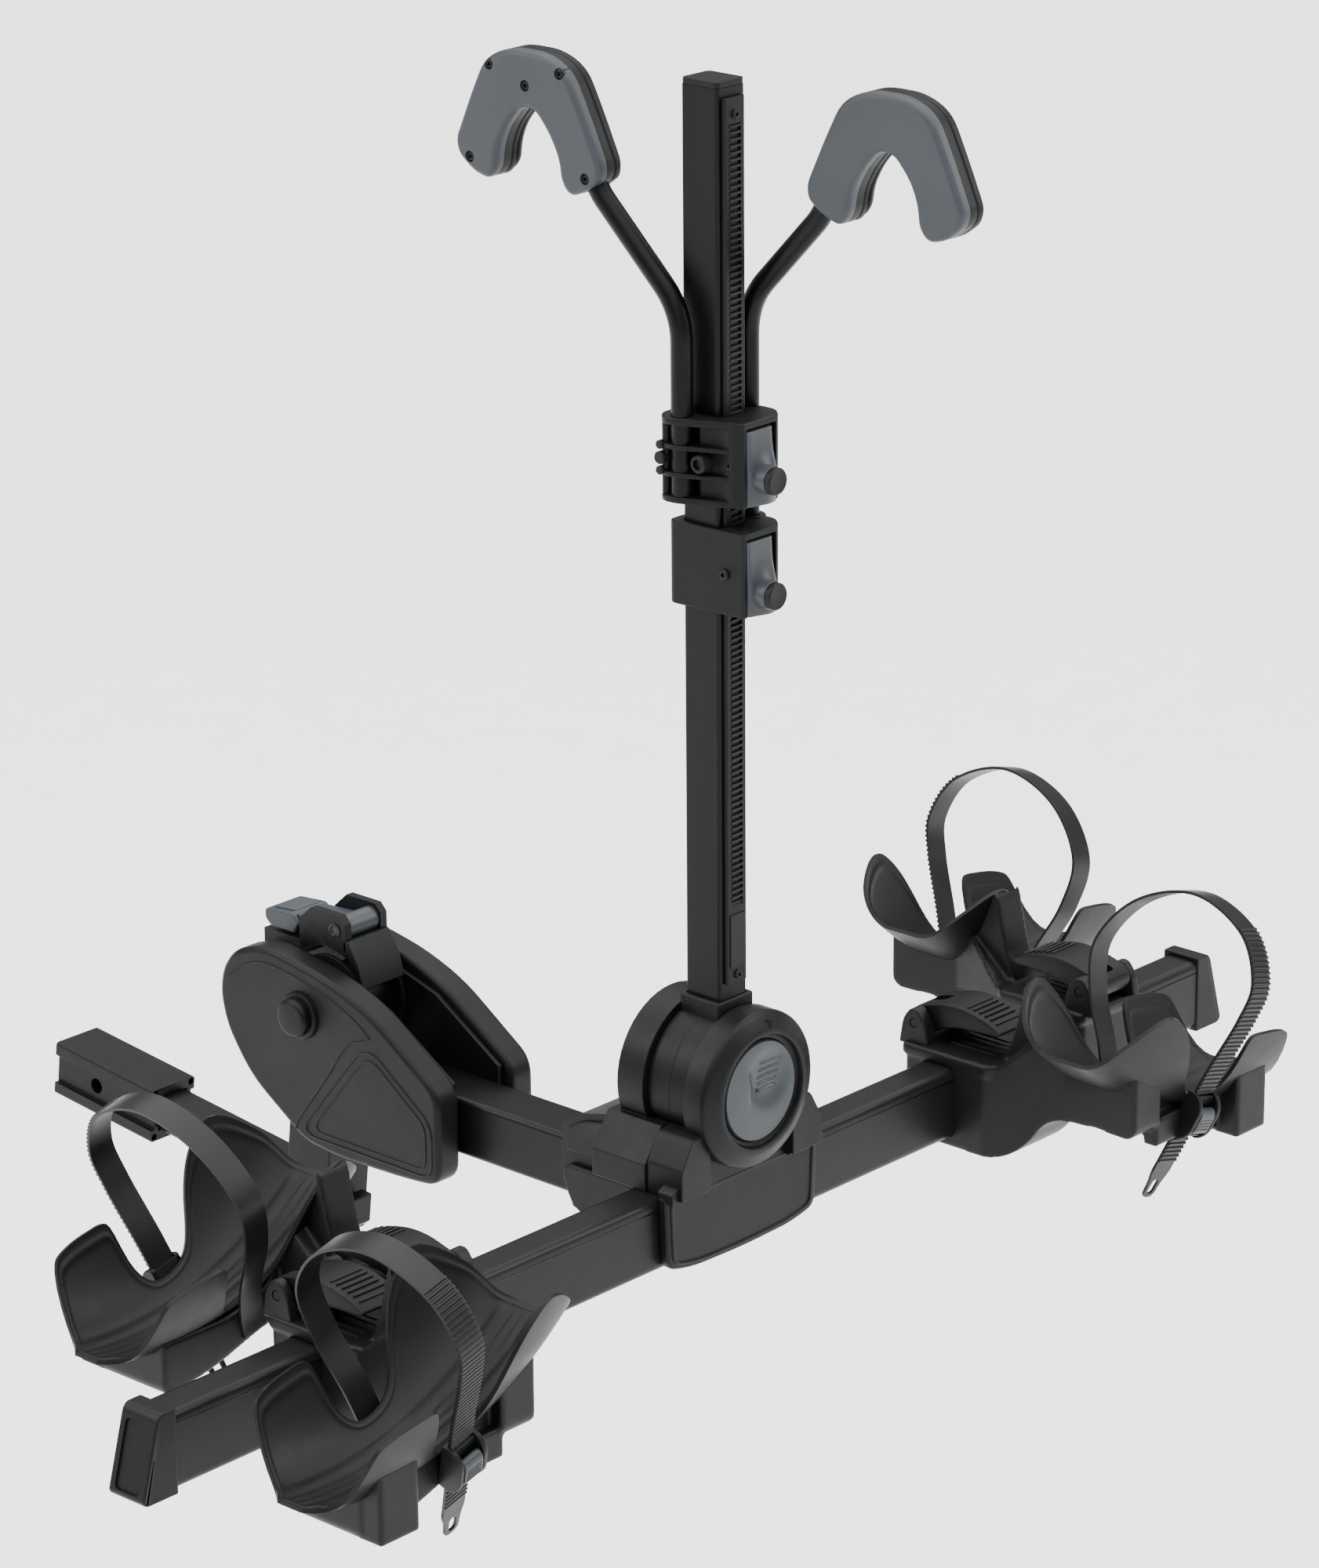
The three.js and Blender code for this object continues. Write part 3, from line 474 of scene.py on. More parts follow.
for side, word in SIDES:
    pin_head = lathe("x", [(r, side * along) for r, along in PIN_HEAD], *LATCH_PIN, 24)
    piece(f"latch_pin_head_{word}", pin_head, PLATFORM, "latch_housing", SCREW_STEEL, (), 35)

# ---------------------------------------------------------------- crossbar
BAR = rounded([(-17.5, 0), (17.5, 0), (17.5, 62), (-17.5, 62)], 7, 5)


def with_groove(outline, z, depth=0.7, half=0.8):
    """Adds the two shallow draw lines along the tube's long faces."""
    out = []
    n = len(outline)
    for i, p in enumerate(outline):
        out.append(p)
        q = outline[(i + 1) % n]
        if abs(p[0] - q[0]) < 1e-6 and abs(p[1] - q[1]) > 20:
            side = math.copysign(1, p[0])
            marks = [(p[0], z - half), (p[0] - side * depth, z), (p[0], z + half)]
            out.extend(marks if q[1] > p[1] else marks[::-1])
    return out


bar = carve(prism("x", with_groove(BAR, 52.5), -613, 613), box(-700, 700, -14.5, 14.5, 3, 59))
piece("crossbar_tube", bar, PLATFORM, "crossbar", ALLOY_COAT, ("crossbar",), 30)

for side, word in SIDES:
    shape = [(613.3, -3), (645, -3), (649, 1), (632, 62), (628, 66), (613.3, 66)]
    cap = outward(prism("y", [(side * a, b) for a, b in rounded(shape, [0, 5, 5, 5, 5, 0], 3)], -19, 19))
    bmesh.ops.dissolve_limit(cap, angle_limit=0.01, verts=cap.verts, edges=cap.edges)
    cap = bevelled(cap, 3.4, 4, 50)
    # Shallow window in the cap's leaning face
    normal = Vector((61, 0, 17)).normalized()
    up = Vector((-17, 0, 61)).normalized()
    centre = Vector((640.6, 0, 31.5))
    window = rounded([(-13, -28), (13, -28), (13, 26), (-13, 26)], 4, 4)
    tool = bmesh.new()
    loops = []
    for depth in (-1.6, 6.0):
        loops.append([tool.verts.new(centre + up * b + Vector((0, a, 0)) + normal * depth)
                      for a, b in window])
    tool.faces.new(loops[0][::-1])
    tool.faces.new(loops[1])
    for i in range(len(window)):
        j = (i + 1) % len(window)
        tool.faces.new((loops[0][i], loops[0][j], loops[1][j], loops[1][i]))
    if side < 0:
        tool.transform(Matrix.Diagonal((-1, 1, 1, 1)))
    cap = carve(cap, outward(tool))
    plug = box(*sorted((side * 590, side * 615)), -14, 14, 3.6, 58.4)
    piece(f"end_cap_{word}_cover", merged(cap, plug), PLATFORM, f"end_cap_{word}", BLACK_PLASTIC,
          (f"end_cap_{word}",), 30)

# ---------------------------------------------------------------- centre bracket and hub
BEZEL_Z = HUB_Z - 2.0
skin("bracket_rear", BLACK_PLASTIC, 2.2)
low_ledge = rounded([(20, -2), (88, -2), (114, 6), (125, 34), (119, 43), (20, 43)], [0, 14, 12, 8, 5, 0], 4)
high_ledge = rounded([(60, 54), (122, 54), (121, 73), (105, 83), (60, 92)], [2, 3, 5, 8, 2], 4)
ledges = []
for side in (-1, 1):
    ledges.append(bevelled(prism("x", low_ledge, *sorted((side * 44.5, side * 51))), 2.6, 3, 40))
    ledges.append(bevelled(prism("x", high_ledge, *sorted((side * 44.5, side * 48))), 1.5, 3, 40))
piece("bracket_rear_ledges", merged(*ledges), PLATFORM, "bracket_rear", BLACK_PLASTIC, (), 40)
face = rounded([(-92, 66), (-89, 3), (-60, -3.5), (0, -5.5), (60, -3.5), (89, 3), (92, 66)],
               [5, 10, 60, 60, 60, 10, 5], 6)
front_plate = bevelled(prism("y", face, -27.5, -17.9), 2.6, 4, 50)
web = bevelled(prism("y", [(-74, 58), (-60, 104), (60, 104), (74, 58)], -28.5, -22.5), 1.0, 2)
ring = lathe("y", [
    (58, -22.5), (65.5, -22.5), (65.5, -40.0), (65.1, -42.2), (63.9, -44.0), (62.0, -45.4), (54.0, -49.3),
    (51.6, -50.2), (49.2, -50.6), (47.6, -50.3), (46.9, -49.4), (46.2, -45.8), (45.6, -45.2), (43.6, -45.0),
    (42.6, -44.4), (42.6, -22.5), (58, -22.5),
], 0, BEZEL_Z, 96)
shoulder_shapes = []
for side in (-1, 1):
    outline = rounded([(side * x, z) for x, z in ((50, 62.4), (84, 62.4), (84, 88), (71, 111), (50, 114))],
                      [0, 1, 3, 4, 0], 2)
    shoulder_shapes.append(bevelled(prism("y", outline, -38.0, -0.3), 2.0, 3, 40))
    step = rounded([(side * x, z) for x, z in ((50, 60.4), (91, 60.4), (91, 70), (84, 74), (50, 74))],
                   [0, 1, 2, 2, 0], 2)
    shoulder_shapes.append(bevelled(prism("y", step, -34.0, -18.0), 1.4, 3, 40))
drum_space = lathe("y", [(0, -22.4), (61, -22.4), (61, 2), (0, 2)], 0, HUB_Z, 96)
bore_space = lathe("y", [(0, -60), (45.0, -60), (45.0, -10), (0, -10)], 0, BEZEL_Z, 96)
front = carve(merged(web, *shoulder_shapes), drum_space, bore_space)
border = [(x * 0.93, 30.5 + (z - 30.5) * 0.86) for x, z in face]
border_line = sweep([(x, -27.5, z) for x, z in border + [border[0]]], 1.5, 10)
tick = sweep([(9, -51.0, BEZEL_Z + 53), (10, -49.6, BEZEL_Z + 58.6), (6.5, -49.2, BEZEL_Z + 59.6)], 0.8, 8)
piece("bracket_front_shell", merged(front_plate, front, ring, border_line, tick), PLATFORM, "bracket_front",
      BLACK_PLASTIC, ("bracket_front",), 32)

# Button face: shallow dome with a thumb scoop and five grip grooves
BUTTON_RADIUS = 42.0
GRIP_LINES = (0, 5.5, 11, 16.5, 22)


def button_surface(x, z):
    """How deep the button's face lies at a point measured from its middle."""
    dome = 1.6 * math.hypot(x, z) ** 2 / BUTTON_RADIUS ** 2
    scoop = 5.0 * math.exp(-(((x - 10) / 24) ** 2 + ((z - 8) / 22) ** 2) ** 2)
    scoop_edge = 1 / (1 + math.exp(-(x + 12 + 0.02 * (z - 6) ** 2) * 0.9))
    grooves = sum(1.3 * math.exp(-((z - line) / 0.9) ** 2) for line in GRIP_LINES)
    groove = grooves if -4 < x - 0.3 * z < 20 else 0
    return -48.6 + dome + scoop * scoop_edge + groove


button = bmesh.new()
rings, cols = 36, 96
grid = [[] for _ in range(rings + 1)]
for i in range(1, rings + 1):
    radius = BUTTON_RADIUS * i / rings
    for k in range(cols):
        t = 2 * math.pi * k / cols
        x, z = radius * math.cos(t), radius * math.sin(t)
        rim_drop = 1.6 if i == rings else 0
        grid[i].append(button.verts.new((x, button_surface(x, z) + rim_drop, BEZEL_Z + z)))
middle_vertex = button.verts.new((0, -47.4, BEZEL_Z))
back_ring = [button.verts.new((v.co.x, -29, v.co.z)) for v in grid[rings]]
for k in range(cols):
    j = (k + 1) % cols
    button.faces.new((middle_vertex, grid[1][k], grid[1][j]))
    for one, two in zip(grid[1:], grid[2:]):
        button.faces.new((one[k], two[k], two[j], one[j]))
for k in range(cols):
    j = (k + 1) % cols
    button.faces.new((grid[rings][k], back_ring[k], back_ring[j], grid[rings][j]))
button.faces.new(back_ring)
outward(button)
piece("hub_button_cap", button, PLATFORM, "hub_button", GREY_BUTTON, ("hub_button",), 50)

# ---------------------------------------------------------------- mast
HUB_RADIUS = 60


def mast_socket():
    return box(-16.3, 16.3, -18.7, 18.7, 150, 240)


hub_body = cylinder("y", HUB_RADIUS, -22, 20.6, 0, HUB_Z, 96)
hub_body = carve(bevelled(hub_body, 1.2, 3, 50), mast_socket())
collar = carve(bevelled(box(-21, 21, -20.8, 20.4, 176, 208.5), 2.0, 4), mast_socket())
seam_profile = [(0, -3.2), (0.35, -2.6), (0.35, -2.2), (0, -1.6), (-0.4, -1.6), (-0.4, -3.2), (0, -3.2)]
seam = lathe("y", [(HUB_RADIUS + r, y) for r, y in seam_profile], 0, HUB_Z, 96)
piece("mast_hub_drum", merged(hub_body, collar, seam), PLATFORM, "mast_hub", BLACK_PLASTIC, ("mast_hub",), 32)
skin("mast", ALLOY_COAT, 0.7)
skin("mast_cap", BLACK_PLASTIC, 2.0)

# Ratchet strip: two side rails with a toothed face between them, and plain screw pads
STRIP_LOW, STRIP_HIGH = 222, 935
TOOTH_PITCH = 5.2
TOOTH_COUNT = 120
rail_section = [(-11.5, -18.7), (-11.5, -21.4), (-10.4, -22.4), (10.4, -22.4), (11.5, -21.4), (11.5, -18.7)]
rail = bevelled(prism("z", rail_section, STRIP_LOW, STRIP_HIGH), 0.4, 2)
channel = [(-30, 286), (-22.6, 286), (-20.6, 288), (-20.6, 913), (-22.6, 915), (-30, 915)]
rail = carve(rail, prism("x", channel, -6.6, 6.6))
tooth = [(-22.2, 0), (-20.2, 0.6), (-20.2, 2.4), (-23.0, 3.4), (-23.0, 4.6)]
face_profile = [(y, 290 + TOOTH_PITCH * k + rise) for k in range(TOOTH_COUNT) for y, rise in tooth]
teeth = outward(prism("x", [(-20.4, 286)] + [p for p in face_profile if p[1] < 914]
                      + [(-20.4, 914), (-19.0, 914), (-19.0, 286)], -6.5, 6.5))
pads = [screw("y", -1, 0, zz, -22.4, 3.6, 1.5) for zz in (229, 922)]
ledge = bevelled(box(-8.5, 8.5, -23.4, -22.2, 236, 280), 0.5, 2)
piece("ratchet_strip_toothed", merged(rail, teeth, ledge, *pads), PLATFORM, "ratchet_strip", BLACK_PLASTIC,
      ("ratchet_strip",), 30)

# ---------------------------------------------------------------- carriages
CARRIAGE_HEIGHT = 68
HEAD_OUT = 155
HEAD_Z = 902
TUBE_RADIUS = 8.75


def passage(z0, z1):
    """Room for the mast and its ratchet strip."""
    return fuse(box(-16.4, 16.4, -18.8, 18.8, z0, z1), box(-12, 12, -23.6, 0, z0, z1))


LOWER_PLAN = rounded([(-19, -47), (21, -47), (27, -42), (34, -34), (34, 16), (22, 28), (-20, 28), (-22, 24)],
                     [2, 2, 4, 6, 10, 10, 5, 4], 4)
UPPER_PLAN = rounded([(-19, -47), (21, -47), (27, -42), (34, -34), (34, 16), (22, 28), (-22, 28)],
                     [2, 2, 4, 6, 10, 10, 2], 4)
RIB_PLAN = rounded([(-19, -47), (20, -47), (20, 26), (-32, 26), (-41, 17), (-40, 3), (-33, -12)],
                   [2, 0, 2, 10, 8, 12, 26], 5)
RIM_PLAN = rounded([(-24.2, -36), (-18.8, -46.8), (-12, -46.6), (-15, -34)], 1.5, 3)
REAR_WALL_PLAN = rounded([(-18, 15.5), (-36, 15.5), (-38, 19), (-34, 24), (-18, 26)], [0, 2, 3, 4, 0], 3)
SCOOP_PLAN = rounded([(-16, -40), (-23, -40), (-21.5, -20), (-27, -6), (-15.5, -2)], [0, 3, 14, 8, 0], 5)
HEAD = [(-77, 874), (-60, 910), (-43, 942), (-18, 953), (20, 953), (45, 942), (61, 910), (77, 874), (74, 862),
        (58, 850), (42, 846), (33, 856), (31, 874), (24, 890), (10, 906), (0, 909), (-10, 906), (-24, 890),
        (-33, 872), (-35, 856), (-44, 845), (-62, 852), (-76, 862)]
HEAD_RADII = [8, 30, 26, 24, 24, 26, 30, 8, 7, 8, 9, 10, 14, 14, 8, 4, 8, 14, 14, 10, 9, 8, 8]
HEAD_SCREWS = ((-62, 862), (-36, 940), (0, 926), (38, 938), (60, 862))


def curve(a, b, c, t):
    """Point at t on the quadratic curve from a to c that bends toward b."""
    return a * (1 - t) ** 2 + b * 2 * t * (1 - t) + c * t * t


CARRIAGES = (("lower", "right", 1, -9, 532, 550), ("upper", "left", -1, 6.5, 620, 642))
for word, hook, sgn, ty, base, core in CARRIAGES:
    top = base + CARRIAGE_HEIGHT
    tx = sgn * 29.5
    if word == "lower":
        body = bevelled(prism("z", LOWER_PLAN, base, top), 2.4, 4, 50)
        walls = [bevelled(cylinder("z", 14, base + 0.5, top - 0.5, tx, ty, 48), 1.6, 3, 50)]
        extras = [screw("x", -1, -28, base + 33, -20.2, 4.6, 1.7)]
    else:
        body = bevelled(prism("z", UPPER_PLAN, base + 0.4, top - 0.4), 1.8, 3, 50)
        ribs = [bevelled(prism("z", RIB_PLAN, z0, z0 + thick), 1.3, 3, 50)
                for z0, thick in ((base, 5.0), (base + 20.5, 3.8), (base + 42.5, 3.8), (top - 6.0, 6.0))]
        # Each wall stops at a height of its own, so that no two shells share a plane
        rim = bevelled(prism("z", RIM_PLAN, base + 0.7, top - 0.7), 0.8, 2, 50)
        rear_wall = bevelled(prism("z", REAR_WALL_PLAN, base + 1.1, top - 1.1), 0.8, 2, 50)
        scoop_wall = outward(prism("z", SCOOP_PLAN, base + 1.5, top - 1.5))
        walls = [rim, rear_wall, scoop_wall, *ribs]
        boss = [(0, -22), (7.2, -22), (7.2, -33.5), (6.4, -34.6), (4.4, -34.8), (3.9, -34.0), (3.9, -32.0),
                (0, -32.0)]
        extras = [lathe("x", boss, -13, base + 33, 32), screw("x", -1, -36, base + 34, -21.6, 3.4, 1.6)]
        for zz, bump_radius in ((base + 24, 3.6), (base + 34, 5.2), (base + 44.5, 3.6)):
            stud = [(0, -20), (bump_radius, -20), (bump_radius, -40.5), (bump_radius - 1, -41.8), (0, -41.8)]
            extras.append(lathe("x", stud, 20.5, zz, 24))
    window = bevelled(box(-16.6, 18.6, -60, -40.4, base + 4.5, top - 5.0), 1.2, 2, 50)
    mouth = box(-14.5, 16.5, -60, -40.4, base - 5, base + 6)
    tools = [passage(base - 5, top + 5), cylinder("z", 9.05, base - 5, top + 5, tx, ty, 40),
             fuse(window, mouth)]
    if word == "upper":
        tools.append(cylinder("z", 9.55, base - 5, top + 5, 29.5, -9, 40))
        tools.append(box(29.5, 50, -18.55, 0.55, base - 5, top + 5))
    shell = body
    for part in walls:
        shell = boolean(shell, part, "UNION")
    for tool in tools:
        shell = boolean(shell, tool, "DIFFERENCE")
    piece(f"carriage_{word}_shell", merged(shell, *extras), PLATFORM, f"carriage_{word}", BLACK_PLASTIC,
          (f"carriage_{word}",), 34)

    # Hook tube and its padded head
    tip = Vector((-88, 852)) if hook == "right" else Vector((96, 856))
    bend = 769 if hook == "right" else 770
    way = (tip - Vector((ty, bend))).normalized()
    pts = [Vector((ty, base + 2 + (bend - 26 - base - 2) * i / 6)) for i in range(6)]
    corner = Vector((ty, bend))
    pts += [curve(Vector((ty, bend - 26)), corner, corner + way * 26, i / 10) for i in range(11)]
    leg = Vector((math.copysign(0.31, way.x), 0.95))
    knee = tip - way * 4
    entry = knee + leg * 13
    pts += [curve(knee - way * 13, knee, entry, i / 5) for i in range(6)]
    end = entry + leg * 20
    pts.append(end)
    piece(f"hook_tube_{hook}_bar", sweep([(tx, p.x, p.y) for p in pts], TUBE_RADIUS, 32), PLATFORM,
          f"hook_tube_{hook}", ALLOY_COAT, (f"hook_tube_{hook}",), 50)
    out = 1 if hook == "left" else -1
    outline = rounded([(out * (u + HEAD_OUT), z) for u, z in HEAD], HEAD_RADII, 5)
    socket = sweep([(tx, p.x, p.y) for p in pts[-7:] + [end + leg * 0.3]], 9.0, 32)
    layers = []
    for low, high, mat, label in ((-14, -4.0, GREY_SOFT, "outer_pad"), (-3.8, 13, BLACK_PLASTIC, "core"),
                                  (11.6, 14.2, GREY_SOFT, "inner_pad")):
        if label == "core":
            band = merged(bevelled(prism("x", outline, tx + low, tx + 4.4), 0.7, 2, 40),
                          bevelled(prism("x", outline, tx + 4.7, tx + high), 2.4, 3, 40))
        elif label == "outer_pad":
            band = carve(bevelled(prism("x", outline, tx + low, tx + high + 6), 5.2, 5, 50),
                         box(tx + high, tx + high + 20, -400, 400, 700, 1100))
        else:
            inner = [(out * HEAD_OUT + (y - out * HEAD_OUT) * 0.93, HEAD_Z + (z - HEAD_Z) * 0.93)
                     for y, z in outline]
            band = bevelled(prism("x", inner, tx + low, tx + high), 1.0, 2, 50)
        band = carve(band, socket.copy())
        layers.append((label, band, mat))
    socket.free()
    for label, band, mat in layers:
        parts = [band]
        if label == "outer_pad" and hook == "left":
            holes = [cylinder("x", 4.6, tx - 20, tx - 11, out * (u + HEAD_OUT), zz, 24)
                     for u, zz in HEAD_SCREWS]
            parts = [carve(band, *holes)]
        if label == "core" and hook == "left":
            for u, zz in HEAD_SCREWS:
                head_screw = [(0, tx - 4), (3.9, tx - 4), (3.9, tx - 12.2), (3.0, tx - 13.2),
                              (1.7, tx - 13.4),
                              (1.7, tx - 12.0), (0, tx - 12.0)]
                parts.append(lathe("x", head_screw, out * (u + HEAD_OUT), zz, 20))
        piece(f"hook_head_{hook}_{label}", merged(*parts), PLATFORM, f"hook_head_{hook}", mat,
              (f"hook_head_{hook}",) if label == "core" else (), 40)

    # Squeeze paddle that swells toward the lock barrel
    paddle = bmesh.new()
    lanes, steps = 16, 24
    high, low = top - 7.5, base + 1.5
    sheets = []
    for is_back in (False, True):
        sheet = []
        for i in range(steps + 1):
            t = i / steps
            zz = high + (low - high) * t
            half = 14.4 + 1.2 * t
            row = []
            for j in range(lanes + 1):
                x = -half + 2 * half * j / lanes
                above, below = max(0.0, zz - core), min(0.0, zz - core)
                rise = 8.5 * math.exp(-(((x - 4) / 13) ** 2 + (above / 16) ** 2 + (below / 26) ** 2))
                edge_drop = 1.2 * max(0, abs(x / half) - 0.86) / 0.14
                front_y = -47.4 - 1.2 * t - rise + edge_drop
                row.append(paddle.verts.new((x, -42.0 if is_back else front_y, zz)))
            sheet.append(row)
        sheets.append(sheet)
    front, rear = sheets
    for sheet in sheets:
        for i in range(steps):
            for j in range(lanes):
                quad = (sheet[i][j], sheet[i][j + 1], sheet[i + 1][j + 1], sheet[i + 1][j])
                paddle.faces.new(quad if sheet is rear else quad[::-1])
    for i in range(steps):
        paddle.faces.new((front[i][0], front[i + 1][0], rear[i + 1][0], rear[i][0]))
        paddle.faces.new((front[i + 1][lanes], front[i][lanes], rear[i][lanes], rear[i + 1][lanes]))
    for j in range(lanes):
        paddle.faces.new((front[0][j + 1], front[0][j], rear[0][j], rear[0][j + 1]))
        paddle.faces.new((front[steps][j], front[steps][j + 1], rear[steps][j + 1], rear[steps][j]))
    outward(paddle)
    collar_ring = lathe("y", [(9.7, -46), (12.2, -46), (11.4, -59.4), (10.9, -60.2), (9.7, -60.2),
                              (9.7, -46)], 0, core, 48)
    trigger = carve(paddle, cylinder("y", 9.75, -70, -30, 0, core, 48))
    piece(f"squeeze_paddle_{word}_trigger", merged(trigger, collar_ring), PLATFORM, f"squeeze_paddle_{word}",
          GREY_BUTTON, (f"squeeze_paddle_{word}",), 38)
    barrel = lathe("y", [(0, -43), (9.4, -43), (9.4, -60.5), (10.7, -60.7), (10.9, -61.6), (10.9, -64.4),
                         (10.3, -65.4), (9.2, -65.9), (8.4, -65.5), (0, -65.3)], 0, core, 48)
    piece(f"lock_core_{word}_barrel", barrel, PLATFORM, f"lock_core_{word}", LOCK_BLACK,
          (f"lock_core_{word}",), 35)

# ---------------------------------------------------------------- wheel trays
D_LOW, D_HIGH = -8.0, 240.0
CENTRE = 148.0
# Half of the cradle's plan, from the clamp end outward: a petal, the waist, a petal and the open end
HALF_PLAN = [(D_LOW, 0), (D_LOW, 18)] + spline(
    [(D_LOW, 18), (-5, 37), (1, 49), (12, 58), (27, 65.5), (43, 69.5), (58, 68.5), (70, 65), (79, 59),
     (87, 50), (95, 43.5), (106, 39.5), (118, 38), (130, 38.5), (138, 42.5), (145, 50), (150.5, 60),
     (154.5, 64.3), (160, 65.6), (172, 65.5), (190, 64.6), (206, 62.6), (213, 60), (217.5, 53),
     (221.5, 41), (226, 30), (232, 21), (D_HIGH, 12)], 4)[1:] + [(D_HIGH, 0)]


def half_width(d):
    """Half of the cradle's width at a distance out from its clamp end."""
    d = min(D_HIGH - 0.02, max(D_LOW + 0.02, d))
    return max(w0 + (w1 - w0) * (d - d0) / (d1 - d0)
               for (d0, w0), (d1, w1) in zip(HALF_PLAN, HALF_PLAN[1:]) if d0 <= d <= d1 and d1 > d0)


def edge_distance(d, across):
    """How far a point lies inside the cradle's outline."""
    p = Vector((d, abs(across)))
    nearest = 1e9
    for a, b in zip(HALF_PLAN, HALF_PLAN[1:]):
        a, b = Vector(a), Vector(b)
        t = max(0.0, min(1.0, (p - a).dot(b - a) / max(1e-9, (b - a).length_squared)))
        nearest = min(nearest, (p - a.lerp(b, t)).length)
    return nearest


def trough(d, across):
    """Height of the wheel groove: an arc along the wheel, rising to both sides."""
    groove = 321.0 - math.sqrt(290.0 ** 2 - (d - 190.0) ** 2)
    beyond = max(0.0, abs(across) - 12.0) / 53.0
    return groove + 65.0 * beyond ** 2.4


def trough_point(d, across, offset):
    """Point at a given offset off the groove's surface."""
    h = 0.5
    n = Vector((trough(d - h, across) - trough(d + h, across),
                trough(d, across - h) - trough(d, across + h), 2 * h))
    return Vector((d, CENTRE + across, trough(d, across))) + n.normalized() * offset


def bead(distance):
    """Height of the thin raised line a little way in from the rim."""
    return 0.9 * math.exp(-((distance - 3.4) / 1.0) ** 2) + 0.5 * math.exp(-(distance / 1.2) ** 2)


def smooth_step(a, b, x):
    t = max(0.0, min(1.0, (x - a) / (b - a)))
    return t * t * (3 - 2 * t)


def floor_ridges(across):
    """Lengthwise steps and the two ridges along the bottom of the wheel groove."""
    off = abs(across)
    step = 1.5 * smooth_step(10, 13, off) - 1.5 * smooth_step(19, 24, off)
    return step + 0.9 * math.exp(-((off - 4.5) / 1.2) ** 2)


RIM_STEPS = (0.0, 0.9, 1.8, 2.6, 3.4, 4.2, 5.0, 6.2, 8.0)
SHELL_WALL = 3.0


def cradle_mesh():
    middle = 40
    stations = sorted({round(v, 3) for v in (
        *(D_LOW + v for v in RIM_STEPS), *(D_HIGH - v for v in RIM_STEPS),
        *(D_LOW + 10 + (D_HIGH - D_LOW - 20) * i / 90 for i in range(91)))})
    bm = bmesh.new()
    sheets = []
    for under in (0, 1):
        rows_ = []
        for d in stations:
            w = half_width(d)
            inner = w - RIM_STEPS[-1]
            places = [-w + v for v in RIM_STEPS] + [inner * (2 * j / middle - 1) for j in range(1, middle)]
            places += [w - v for v in RIM_STEPS[::-1]]
            row = []
            for s in places:
                edge = edge_distance(d, s)
                up = bead(edge) + floor_ridges(s) * smooth_step(3, 12, min(d - D_LOW, D_HIGH - d))
                row.append(bm.verts.new(trough_point(d, s, -SHELL_WALL if under else up)))
            rows_.append(row)
        sheets.append(rows_)
    return edge_bevel(closed_sheets(bm, *sheets), 0.4, 2, 55)


LEAN = math.radians(15)
STRAP_FRAME = Matrix((
    (0, math.sin(LEAN), math.cos(LEAN), 110),
    (1, 0, 0, CENTRE),
    (0, math.cos(LEAN), -math.sin(LEAN), 38),
    (0, 0, 0, 1),
))
# The strap's way round the wheel, in its own leaning plane, from the pull tab
ROUTE = [(12, -79), (27, -40), (42, 0), (57, 40), (78, 88), (85, 122), (64, 160), (12, 180), (-44, 162),
         (-78, 120), (-74, 76), (-55, 34), (-46, 4), (-45, -14)]
STRAP_HALF = 1.25
TOOTHED_FROM, TOOTHED_TO = 34.0, 262.0
STRAP_PITCH = 4.3
STRAP_TOOTH = ((0, 0), (0.7, 1.3), (2, 1.3), (2.7, 0))


def strap_mesh():
    """Closed ratchet strap: flat band, a run of teeth on its outside and a pull tab with an eye."""
    line = [Vector(p) for p in spline(ROUTE, 24)]
    lengths = [0.0]
    for a, b in zip(line, line[1:]):
        lengths.append(lengths[-1] + (b - a).length)
    total = lengths[-1]

    def at(distance):
        distance = max(0.0, min(total - 1e-6, distance))
        k = next(i for i in range(len(lengths) - 1) if lengths[i + 1] >= distance)
        t = (distance - lengths[k]) / (lengths[k + 1] - lengths[k])
        p = line[k].lerp(line[k + 1], t)
        tangent = (line[min(k + 2, len(line) - 1)] - line[max(k - 1, 0)]).normalized()
        return p, Vector((tangent.y, -tangent.x))

    def off(distance, lift):
        p, n = at(distance)
        return p + n * lift

    outer, inner = [], []
    d = 26.0
    while d < total:
        if TOOTHED_FROM < d < TOOTHED_TO:
            outer += [off(d + shift, STRAP_HALF + lift) for shift, lift in STRAP_TOOTH]
            # The inside leans with the end of each tooth
            inner.append(at(d)[0] - at(d + STRAP_TOOTH[-1][0])[1] * STRAP_HALF)
            d += STRAP_PITCH
        else:
            outer.append(off(d, STRAP_HALF))
            inner.append(off(d, -STRAP_HALF))
            d += 5.0
    outer.append(off(total, STRAP_HALF))
    inner.append(off(total, -STRAP_HALF))
    band = outward(prism("z", [tuple(q) for q in outer + inner[::-1]], -12, 12))
    band = edge_bevel(band, 0.35, 2, 55)
    # Pull tab past the buckle, with its oval eye
    p0, _ = at(0.0)
    p1, n1 = at(30.0)
    along = (p1 - p0).normalized()
    tab = rounded([(-7.5, -1), (7.5, -1), (8.5, 14), (12, 24), (12, 31), (-12, 31), (-12, 24), (-8.5, 14)],
                  [7, 7, 8, 4, 0, 0, 4, 8], 6)
    eye = rounded([(-3.6, 3), (3.6, 3), (3.6, 17), (-3.6, 17)], 3.6, 6)
    plate = edge_bevel(carve(prism("y", tab, -1.2, 1.2), prism("y", eye, -4, 4)), 0.5, 2, 55)
    plate.transform(Matrix((
        (0, n1.x, along.x, p0.x),
        (0, n1.y, along.y, p0.y),
        (1, 0, 0, 0),
        (0, 0, 0, 1),
    )))
    out = merged(band, outward(plate))
    out.transform(STRAP_FRAME)
    return out


